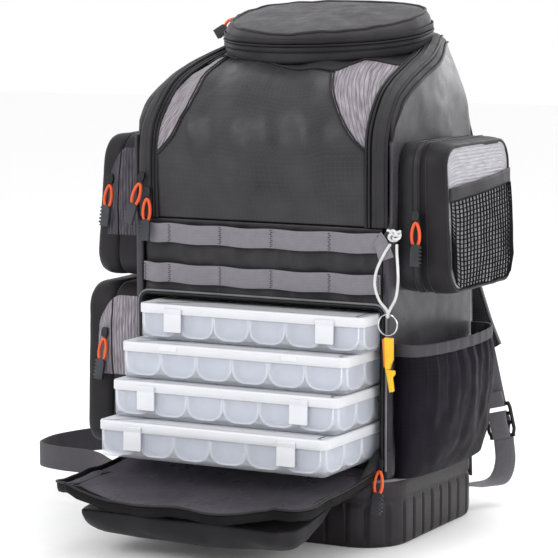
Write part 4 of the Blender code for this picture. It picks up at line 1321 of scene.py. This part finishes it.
def make_flap():
    """The flap: lining, bound edge, its half of the zip, a seam, and the pocket on its outer side."""
    rows = [[on_flap(stage, share) for share in between(-1, 1, 70)] for stage in spline(FLAP_STATIONS, 61)]
    lining = grid("flap_lining", rows, LINING, "flap", 0.0030, "lining")
    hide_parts("tray_flap")
    edge = [row[0] for row in rows] + rows[-1][1:-1] + [row[-1] for row in reversed(rows)]
    edge = [p + Vector((0, 0, -0.0012)) for p in edge]
    binding = merged("flap_binding", [tube_mesh(edge, 0.0042, 10, flat=0.85)], BINDING, "flap", "lining")
    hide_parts("tray_flap")

    def beside(place, out, rise):
        """A place shifted outward from the flap's middle and upward."""
        return place + radial(place, FLAP_MIDDLE) * out + Vector((0, 0, rise))

    shifts = [(-0.0010 - 0.0095 * share, 0.0036 - 0.0022 * share) for share in (0, 0.35, 0.7, 1)]
    inward = [[beside(p, *shift) for p in edge] for shift in shifts]
    grid("flap_zip_tape", inward, BINDING, "flap", 0.0012, "zip_tape")
    free, standing = edge[6:-6], []
    for out, rise in ((0.0026, -0.0050), (0.0040, -0.0010), (0.0044, 0.0030), (0.0040, 0.0062)):
        standing.append([beside(p, out, rise + crumple(p, 15.0, 60, 0.0012)) for p in free])
    grid("flap_lip_tape", standing, BINDING, "flap", 0.0012, "zip_tape")
    coil = [beside(p, 0.0046, 0.0064) for p in free]
    tube("flap_zip_coil", coil, 0.0013, ZIP_COIL, "flap", slot="zip_tape")
    seam = [beside(p, -0.0112, 0.0016) for p in edge[3:-3]]
    tube("flap_seam", seam, 0.0009, DARK_PIPING, "flap", slot="lining")
    refined("flap_pocket", "flap_pocket_cloth", POCKET_CLOTH, "flap", 3, pocket_swell)
    make_gussets()


def pocket_swell(place, normal):
    """The flap pocket's sag: full on its sides and underside, pressed in on top."""
    return (crumple(place, 7.0, 24, 0.0030) + 0.0008) * clamp(0.5 - normal.z) - 0.0012 * max(0.0, normal.z)


GUSSET_X, GUSSET_START, GUSSET_LENGTH, GUSSET_HEIGHT = 0.1432, -0.1125, 0.0800, 0.026


def make_gussets():
    """Small cloth triangles that join the flap's sides to the opening."""
    for word, side in SIDES:
        rows = []
        for share in between(0.0, 1.0, 12):
            y = GUSSET_START - GUSSET_LENGTH * share
            floor = lookup([(-depth, height) for depth, height, _ in FLAP_STATIONS], -y)
            tall = GUSSET_HEIGHT * (1 - share) ** 1.3
            row = []
            for up in between(0.0, 1.0, 8):
                sag = 0.004 * math.sin(math.pi * up) * (1 - share)
                row.append(Vector((side * (GUSSET_X + sag), y, floor + 0.0008 + tall * up)))
            rows.append(row)
        gusset = grid(f"flap_gusset_{word}", rows, POCKET_CLOTH, "bag", 0.0012, "lining")
        gusset.parent = None
        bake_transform(gusset)


# ---------------------------------------------------------------- pockets on the sides
def rounded_loop(y0, y1, z0, z1, radius):
    """A rounded rectangle with points along its straight runs too."""
    steps, run = 7, 12
    corners = rounded_outline(y0, y1, z0, z1, radius, steps)
    result = []
    for i, (a, b) in enumerate(corners):
        result.append((a, b))
        c, d = corners[(i + 1) % len(corners)]
        if (i + 1) % (steps + 1) == 0:
            result += [(a + (c - a) * k / run, b + (d - b) * k / run) for k in range(1, run)]
    return result


class SidePocket:
    """A zipped box pocket on a wall: a body sewn to the bag up to its split, and a hinged cover beyond it.

    depth is how far it stands out at its top and at its foot; split is the share of that where its zip runs.
    """

    def __init__(self, node, side, low, high, front, back, depth, split):
        self.node, self.side, self.low, self.high = node, side, low, high
        self.front, self.back, self.depth, self.split = front, back, depth, split
        self.lid = node.replace("_pocket", "") + "_cover"

    def x(self, share, z):
        reach = self.depth[1] + (self.depth[0] - self.depth[1]) * (z - self.low) / (self.high - self.low)
        return self.side * (WALL_FACE + share * reach)

    def ring(self, share, inset, swell=0.0):
        """A closed ring round the pocket at a share of its depth."""
        radius = max(0.006, 0.026 - inset)
        front, back = self.front + inset, self.back - inset
        outline = rounded_loop(front, back, self.low + inset, self.high - inset, radius)
        middle = Vector((0, (self.front + self.back) / 2, (self.low + self.high) / 2))
        points = []
        for y, z in outline:
            place = Vector((self.x(share, z), y, z))
            outward = (Vector((0, y, z)) - middle).normalized()
            free = clamp((self.back - 0.004 - y) / 0.020)
            puff = (swell + crumple(place, 4.0 + self.low * 10, 42, 0.0008)) * free
            points.append(place + outward * (puff - 0.0016 * (1 - free)))
        return points

    def face(self, y, z, lift=0.0):
        """A place on the pocket's crowned outer side."""
        u = (2 * y - self.front - self.back) / (self.back - self.front)
        v = (2 * z - self.low - self.high) / (self.high - self.low)
        swell = 0.0055 * max(0.0, 1 - u * u) * max(0.0, 1 - v * v)
        place = Vector((self.x(1.0, z), y, z))
        bump = noise.noise(place * 38) * 0.0012
        return place + Vector((self.side * (swell + bump + lift - 0.001), 0, 0))

    def edge(self, y, upper, inset):
        """The height of the outer side's rounded edge at a depth."""
        radius = 0.024
        reach = max(0.0, self.front + inset + radius - y, y - self.back + inset + radius)
        drop = radius - math.sqrt(max(0.0, radius * radius - min(radius, reach) ** 2))
        return self.high - inset - drop if upper else self.low + inset + drop

    def cloth(self, name, mat, low=None, high=None, inset=0.0042, lift=0.0, size=(40, 50), thickness=0.0012):
        """A panel on the outer side, between two edges given as functions of depth."""
        rows = []
        for share in between(0.0, 1.0, size[1]):
            row = []
            for y in between(self.front + inset, self.back - inset, size[0]):
                bottom, top = self.edge(y, False, inset), self.edge(y, True, inset)
                bottom = max(bottom, low(y)) if low else bottom
                top = min(top, high(y)) if high else top
                row.append(self.face(y, bottom + (top - bottom) * share, lift))
            rows.append(row)
        return grid(name, rows, mat, self.lid, thickness, "heather")

    def front_patch(self, name, shares, heights, mat, body):
        """A panel on the wall that faces forward."""
        rows = []
        for rise in between(0.0, 1.0, 40):
            row = []
            for share in between(*shares, 16):
                rounding = 0.030 * max(0.0, (share - 0.40) / 0.40) ** 2
                z = heights[0] + (heights[1] - rounding - heights[0]) * rise
                puff = 0.0035 * math.sin(math.pi * clamp(share)) * math.sin(math.pi * rise)
                place = Vector((self.x(share, z), self.front, z))
                row.append(place + Vector((0, -0.0030 - puff - crumple(place, 3.0, 50, 0.0010), 0)))
            rows.append(row)
        return grid(name, rows, mat, body, 0.0010, "heather")

    def build(self, wall, rim):
        """The body's wall, the cover's rim, the zip between them and the piping round the outer side."""
        split, rest = self.split, 1 - self.split
        stages = [(0.0, 0.0), (0.10, 0.0008), (split * 0.5, 0.0012), (split * 0.9, 0.0006)]
        body = [self.ring(share, 0.0, swell) for share, swell in stages + [(split - 0.01, 0.0002)]]
        made = grid(self.node + "_wall", body, wall, "bag", 0.0025, "coated_fabric", closed=True)
        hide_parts(self.node)
        stages = [(0.0, 0.0, 0.0002), (0.25, 0.0, 0.0012), (0.55, 0.0, 0.0012), (0.80, 0.0004, 0.0008)]
        stages += [(0.93, 0.0010, 0.0), (0.97, 0.0026, 0.0), (0.965, 0.0060, 0.0)]
        shell = [self.ring(split + 0.012 + rest * share, inset, swell) for share, inset, swell in stages]
        cover = grid(self.node + "_rim", shell, rim, self.lid, 0.0025, "coated_fabric", closed=True)
        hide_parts(self.node + "_cover")
        coil = self.ring(split, 0.0002)
        tube(self.node + "_zip_coil", coil, 0.0016, ZIP_COIL, "bag", 6, closed=True, slot="zip_tape")
        for word, share, owner in (("inner", split - 0.13, "bag"), ("outer", split + 0.16, self.lid)):
            name, path = f"{self.node}_zip_edge_{word}", self.ring(share, -0.0012)
            tube(name, path, 0.0009, DARK_PIPING, owner, 6, closed=True, slot="zip_tape")
        tube(self.node + "_piping", self.ring(0.975, 0.0026), 0.0021, DARK_PIPING, self.lid, 8, closed=True,
             slot="coated_fabric")


def make_side_pockets():
    """The net-fronted pouch on the right and the two pockets on the left."""
    pouch = SidePocket("right_pouch", 1, 0.2720, 0.4300, -0.090, 0.082, (0.052, 0.060), 0.42)
    pouch.build(POCKET_GREY, POCKET_CLOTH)
    pouch.cloth("right_pouch_heather", PALE_HEATHER)

    def net_top(y):
        return 0.3690 + 0.0715 * (y + 0.09)

    def binding_top(y):
        return net_top(y) + 0.0150

    net = pouch.cloth("right_pouch_net", BINDING, None, net_top, 0.0050, 0.0028, (20, 20), thickness=0)
    strands = net.modifiers.new("Strands", "WIREFRAME")
    strands.thickness = 0.0020
    strands.use_even_offset = False
    pouch.cloth("right_pouch_binding", BAND_CLOTH, net_top, binding_top, lift=0.0030, size=(40, 4))
    uppers = SidePocket("left_upper_pocket", -1, 0.2740, 0.4270, -0.092, 0.080, (0.050, 0.062), 0.55)
    lowers = SidePocket("left_lower_pocket", -1, 0.0780, 0.2600, -0.095, 0.085, (0.070, 0.074), 0.55)
    for pocket, heights, mat in ((uppers, (0.318, 0.416), DARK_HEATHER), (lowers, (0.160, 0.250), HEATHER)):
        pocket.build(POCKET_CLOTH, POCKET_CLOTH)
        pocket.cloth(pocket.node + "_face", DARK_HEATHER)
        name, inner, outer = pocket.node + "_front", pocket.split - 0.012, pocket.split + 0.012
        pocket.front_patch(name, (0.03, inner), heights, mat, "bag")
        pocket.front_patch(name + "_outer", (outer, 0.80), heights, mat, pocket.lid)


def bottle_ring(z, reach, inset, pleat):
    """The bottle pocket's round front at a height, with its gathers."""
    front, back, steps = -0.100, 0.104, 96
    near = WALL_FACE + inset
    row = []
    for k in range(steps + 1):
        angle = math.pi * k / steps
        y = (front + back) / 2 - (back - front - 2 * inset) / 2 * math.cos(angle)
        gather = pleat * (math.sin(k * 0.92) + 0.5 * math.sin(k * 1.7 + 1)) * math.sin(angle)
        x = near + (reach - 2 * inset) * (0.30 + 0.70 * math.sin(angle) ** 0.8) + gather
        row.append(Vector((x, y, z)))
    return [Vector((near, row[0].y, z)), *row, Vector((near, row[-1].y, z))]


def make_bottle_pocket():
    """The bottle pocket's loose cloth, gathered into an elastic band at its mouth."""
    bulge = ((0.0735, 0.027), (0.105, 0.040), (0.155, 0.047), (0.190, 0.047), (0.206, 0.0435))
    rows = []
    for share in between(0.0, 1.0, 40):
        z = 0.0740 + 0.1320 * share
        loose = math.sin(math.pi * share) ** 0.6 if 0 < share < 1 else 0
        row = []
        for place in bottle_ring(z, lookup(bulge, z), 0.0004, 0.0017 * share**3):
            crease = crumple((place.x, place.y, place.z * 0.45), 12, 30, 0.0042)
            row.append(place + Vector((crease * loose, 0, 0)))
        rows.append(row)
    cloth = grid("bottle_pocket_cloth", rows, BOTTLE_CLOTH, "bag", 0.0016, "ripstop")
    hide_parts("bottle_pocket")
    stages = ((0.2050, 0.0440), (0.2066, 0.0452), (0.2110, 0.0455), (0.2165, 0.0452), (0.2180, 0.0440))
    band = [bottle_ring(z, reach, 0.0002, 0.0006) for z, reach in stages]
    grid("bottle_pocket_elastic", band, BELT, "bag", 0.0022, "webbing")


# ---------------------------------------------------------------- back, straps and belts
STRAP_ROUTE = (
    (0.052, 0.1330, 0.4700),
    (0.056, 0.1500, 0.4700),
    (0.064, 0.1660, 0.4460),
    (0.074, 0.1750, 0.4000),
    (0.086, 0.1760, 0.3400),
    (0.100, 0.1740, 0.2700),
    (0.122, 0.1720, 0.2100),
    (0.144, 0.1710, 0.1720),
)
STRAP_WIDTHS = (0.058, 0.062, 0.066, 0.066, 0.062, 0.058, 0.054, 0.044)
WEB_ROUTE = (
    (0.1703, 0.1661, 0.0775),
    (0.1745, 0.1620, 0.0480),
    (0.1710, 0.1500, 0.0290),
    (0.1570, 0.1265, 0.0260),
    (0.1420, 0.1100, 0.0275),
)
HANDLE_ROUTE = (
    (0.0560, 0.1240, 0.5160),
    (0.0555, 0.1400, 0.5180),
    (0.0400, 0.1560, 0.5210),
    (0.0, 0.1610, 0.5230),
)
BELT_LEFT_ROUTE = (
    (-0.1480, 0.1250, 0.0480),
    (-0.2000, 0.1290, 0.0470),
    (-0.2600, 0.1140, 0.0460),
    (-0.3190, 0.0800, 0.0460),
    (-0.3520, 0.0350, 0.0430),
    (-0.3560, 0.0020, 0.0410),
    (-0.3380, -0.0300, 0.0430),
    (-0.2950, -0.0580, 0.0470),
    (-0.2300, -0.0850, 0.0520),
    (-0.1850, -0.1180, 0.0510),
    (-0.1450, -0.1340, 0.0480),
    (-0.1100, -0.1370, 0.0450),
)
BELT_RIGHT_ROUTE = (
    (0.1480, 0.1250, 0.0500),
    (0.1250, 0.1420, 0.0480),
    (0.0900, 0.1560, 0.0400),
    (0.0400, 0.1600, 0.0330),
    (-0.0200, 0.1540, 0.0300),
    (-0.0800, 0.1440, 0.0310),
)


CUSHIONS = (
    (-0.1320, -0.0500, 0.1000, 0.4300),
    (0.0500, 0.1320, 0.1000, 0.4300),
    (-0.0380, 0.0380, 0.0900, 0.3900),
    (-0.0950, 0.0950, 0.4440, 0.5100),
)


def puff(x, z):
    """How full the back's cushions are at a place, 0 to 1."""
    best = 0.0
    for x0, x1, z0, z1 in CUSHIONS:
        u = clamp(min(x - x0, x1 - x) / 0.016)
        v = clamp(min(z - z0, z1 - z) / 0.016)
        best = max(best, u**0.5 * v**0.5)
    return best


def make_back():
    """The padded back: four cushions of air mesh with channels between them, and its piping."""
    rows = []
    for z in between(0.0726, 0.5465, 120):
        half = lookup(BACK_OUTLINE, z) - 0.0005
        hem = min(1.0, (z - 0.0720) / 0.008, (0.5470 - z) / 0.008 + 0.15)
        row = []
        for x in between(-half, half, 80):
            edge = clamp((half - abs(x)) / 0.010) * hem
            place = Vector((x, 0.1130, z))
            depth = 0.1098 + 0.0030 * edge**0.5 + 0.0082 * puff(x, z) + crumple(place, 6.0, 30, 0.0008) * edge
            row.append(Vector((x, depth, z)))
        rows.append(row)
    back = grid("back_panel_padding", rows, AIR_MESH, "bag", 0.0012, "padding")
    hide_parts("back_panel")
    edge = [row[0] for row in rows] + rows[-1][1:-1:4] + [row[-1] for row in reversed(rows)]
    tube("back_panel_piping", edge[::2], 0.0022, DARK_PIPING, "bag", slot="padding")


def mirrored(points, side):
    return [(side * x, y, z) for x, y, z in points]


def make_shoulder_strap(word, side):
    """A padded strap with a swelling middle, thin sewn edges and piping."""
    path = spline(mirrored(STRAP_ROUTE, side), 70)
    widths = [w[0] for w in spline([(w, 0, 0) for w in STRAP_WIDTHS], 70)]
    around, rings, edges = 24, [], ([], [])
    for i, centre in enumerate(path):
        ahead = (path[min(i + 1, 69)] - path[max(i - 1, 0)]).normalized()
        across = Vector((1, 0, 0))
        across = (across - ahead * across.dot(ahead)).normalized()
        face = across.cross(ahead).normalized()
        end = min(1.0, (i + 0.6) / 4, (69.6 - i) / 4) ** 0.5
        half, thick = widths[i] / 2, 0.0062 * end * (1 + 0.10 * math.sin(i * 0.55))
        ring = []
        for k in range(around):
            c, s = math.cos(2 * math.pi * k / around), math.sin(2 * math.pi * k / around)
            u = math.copysign(abs(c) ** 0.75, c)
            v = s * (1 - 0.55 * abs(u) ** 3)
            place = centre + across * (half * u) + face * (thick * v)
            ring.append(place + face * crumple(place, 11.0, 35, 0.0008))
        rings.append(ring)
        for edge, sign in zip(edges, (-1, 1)):
            edge.append(centre + across * (half * sign))
    points, faces = ring_mesh(rings, True, True)
    strap = piece(f"shoulder_strap_{word}_pad", points, faces, AIR_MESH, "bag", slot="padding")
    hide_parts(f"shoulder_strap_{word}")
    parts = [tube_mesh(edge, 0.0019, 8) for edge in edges]
    merged(f"shoulder_strap_{word}_piping", parts, PIPING, "bag", "padding")
    web = [p + Vector((0, 0.0070, 0)) for p in path[8:60]]
    flat_strap(f"shoulder_strap_{word}_web", web, 0.025, 0.0014, (1, 0, 0), WEBBING)


def make_adjuster(word, side):
    """A ladder-lock: two rails and three bars, with the strap's end sewn round the upper one."""
    top, bottom = Vector((0.1480 * side, 0.1700, 0.1620)), Vector((0.1700 * side, 0.1660, 0.0750))
    down = (bottom - top).normalized()
    across = Vector((0, 1, 0)).cross(down).normalized()
    parts = []

    def place(along, sideways, out=0.0):
        return top.lerp(bottom, along) + across * sideways + Vector((0, out, 0))

    for sign in (-1, 1):
        rail = ((0.56, 0.0145), (0.62, 0.0160), (0.90, 0.0160), (0.98, 0.0135))
        parts.append(tube_mesh([place(along, sign * sideways) for along, sideways in rail], 0.0022, 8))
    for along, out in ((0.57, 0.0), (0.70, 0.0014), (0.82, 0.0014), (0.98, -0.0008)):
        parts.append(tube_mesh([place(along, -0.0155, out), place(along, 0.0155, out)], 0.0022, 8))
    buckle = merged(f"strap_adjuster_{word}_ladder", parts, BUCKLE, "bag", "buckle")
    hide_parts(f"strap_adjuster_{word}")
    loop = ((-0.16, 0.0020), (-0.02, 0.0026), (0.2, 0.0026), (0.5, 0.0028))
    loop += ((0.575, 0.0030), (0.590, 0.0), (0.575, -0.0028), (0.4, -0.0024))
    threaded = ((1.02, 0.0002), (0.92, -0.0020), (0.82, 0.0046), (0.74, 0.0048))
    threaded += ((0.66, -0.0010), (0.72, -0.0050), (0.85, -0.0052), (1.0, -0.0040))
    for part, route, count, thickness in (("loop", loop, 24, 0.0014), ("threaded", threaded, 40, 0.0012)):
        path = spline([place(along, 0.0, out) for along, out in route], count)
        flat_strap(f"strap_adjuster_{word}_{part}", path, 0.0220, thickness, across, WEBBING)


def make_straps():
    """The shoulder straps with their adjusters and lower webbing, the handle and the waist belt."""
    for word, side in SIDES:
        make_shoulder_strap(word, side)
        make_adjuster(word, side)
        path = spline(mirrored(WEB_ROUTE, side), 30)
        web = flat_strap(f"strap_webbing_{word}_weave", path, 0.025, 0.0018, (1, 0, 0), WEBBING)
        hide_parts(f"strap_webbing_{word}")
    path = spline(mirrored(HANDLE_ROUTE, -1) + mirrored(HANDLE_ROUTE[-2::-1], 1), 60)
    handle = flat_strap("grab_handle_weave", path, 0.024, 0.0036, (0, 0, 1), BELT)
    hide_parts("grab_handle")
    for word, route, count in (("left", BELT_LEFT_ROUTE, 110), ("right", BELT_RIGHT_ROUTE, 60)):
        path = spline(route, count)
        belt = flat_strap(f"waist_belt_{word}_weave", path, 0.028, 0.0026, (0, 0, 1), BELT)
        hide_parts(f"waist_belt_{word}")


# ---------------------------------------------------------------- zip pulls
# each pull's slider, and the direction in which it hangs
PULLS = (
    ("door_pull_upper", (-0.1425, -0.1195, 0.3900), (-0.28, -0.10, -1.0)),
    ("door_pull_lower", (-0.1362, -0.1195, 0.3740), (0.0, -0.10, -1.0)),
    ("tray_zip_pull", (0.1485, -0.1185, 0.0960), (0.02, -0.22, -1.0)),
    ("left_upper_pull", (-0.1960, -0.0985, 0.3850), (-0.12, -0.08, -1.0)),
    ("left_lower_pull", (-0.2020, -0.1035, 0.2120), (-0.12, -0.08, -1.0)),
    ("right_pouch_pull", (0.1790, -0.0990, 0.3600), (0.03, -0.08, -1.0)),
    ("lid_pull", (-0.1225, 0.0720, 0.5600), (-0.80, 0.05, -0.48)),
)


def make_pull(name, slider, hang):
    """A slider with its bail, an orange cord loop and a grip with teeth along one edge."""
    start, down = Vector(slider), Vector(hang).normalized()
    side = Vector((1, 0, 0)) if abs(down.x) < 0.9 else Vector((0, 1, 0))
    side = (side - down * side.dot(down)).normalized()
    face = side.cross(down).normalized()
    length, short = 0.058, 0.72 if name == "lid_pull" else 1.0
    toothed = -1 if start.x < 0 else 1
    if side.x * (1 if name != "lid_pull" else -1) < 0:
        toothed = -toothed

    def at(along, across, out=0.0):
        return start + down * (along * short) + side * (across * toothed) + face * out

    def plate(outline, thick):
        return ring_mesh([[at(a, b, out) for a, b in outline] for out in (thick, -thick)], True, True)

    body = [(-0.001, -0.0030), (-0.001, 0.0030), (0.004, 0.0042)]
    body += [(0.0095, 0.0034), (0.0095, -0.0034), (0.004, -0.0042)]
    turns = [math.pi * 2 * k / 20 for k in range(20)]
    bail = [at(0.004 + 0.0052 * (1 - math.cos(turn)), 0.0022 * math.sin(turn), 0.0026) for turn in turns]
    parts = [plate(body, 0.0018), tube_mesh(bail, 0.0008, 6, closed=True)]
    metal = merged(name + "_slider", parts, GUNMETAL, name, "pull_grip")
    rounded(metal, 0.0004)
    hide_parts(name)
    loop = []
    for k in range(28):
        turn = 2 * math.pi * k / 28
        spread = 0.0050 * math.sin(turn) * (0.55 + 0.45 * math.sin(turn / 2) ** 0.7)
        loop.append(at(0.0245 - 0.0125 * math.cos(turn), spread, 0.0004))
    cord = tube(name + "_loop", loop, 0.0018, ORANGE, name, 8, closed=True, slot="pull_grip")
    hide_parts(name)
    grip = [(0.0345, -0.0030), (0.0345, 0.0034)]
    teeth = 5
    for k in range(teeth):
        low = 0.0370 + (length - 0.0380) * k / teeth
        grip += [(low, 0.0068), (low + 0.0018, 0.0070), (low + 0.0022, 0.0046), (low + 0.0034, 0.0046)]
    grip += [(length, 0.0062), (length, -0.0056), (0.0380, -0.0052)]
    handle = merged(name + "_grip", [plate(grip, 0.0021)], GRIP, name, "pull_grip")
    rounded(handle, 0.0005, 2)
    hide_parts(name)


def finish_boards():
    """The compartment's floor and divider keep their CAD shapes, in board cloth."""
    for node in ("tackle_floor", "compartment_divider"):
        obj = NODES[node]
        for slot in obj.material_slots:
            slot.material = BOARD


# each box's front, its shift sideways, and whether its hinge side faces forward, from the top down
TRAYS = ((-0.151, 0.0067, False), (-0.177, 0.0, True), (-0.197, 0.0, False), (-0.225, 0.0, False))


def main():
    """Makes the camera, the cord, the studio and then every piece of the bag."""
    make_camera()
    make_lanyard()
    make_studio()
    make_base()
    make_side_wall("left", -1)
    make_side_wall("right", 1)
    make_front_band()
    make_opening()
    make_door()
    make_lid_pocket()
    for number, tray in enumerate(TRAYS, 1):
        make_tray(number, *tray)
    make_flap()
    make_side_pockets()
    make_bottle_pocket()
    make_back()
    make_straps()
    for pull in PULLS:
        make_pull(*pull)
    finish_boards()


main()
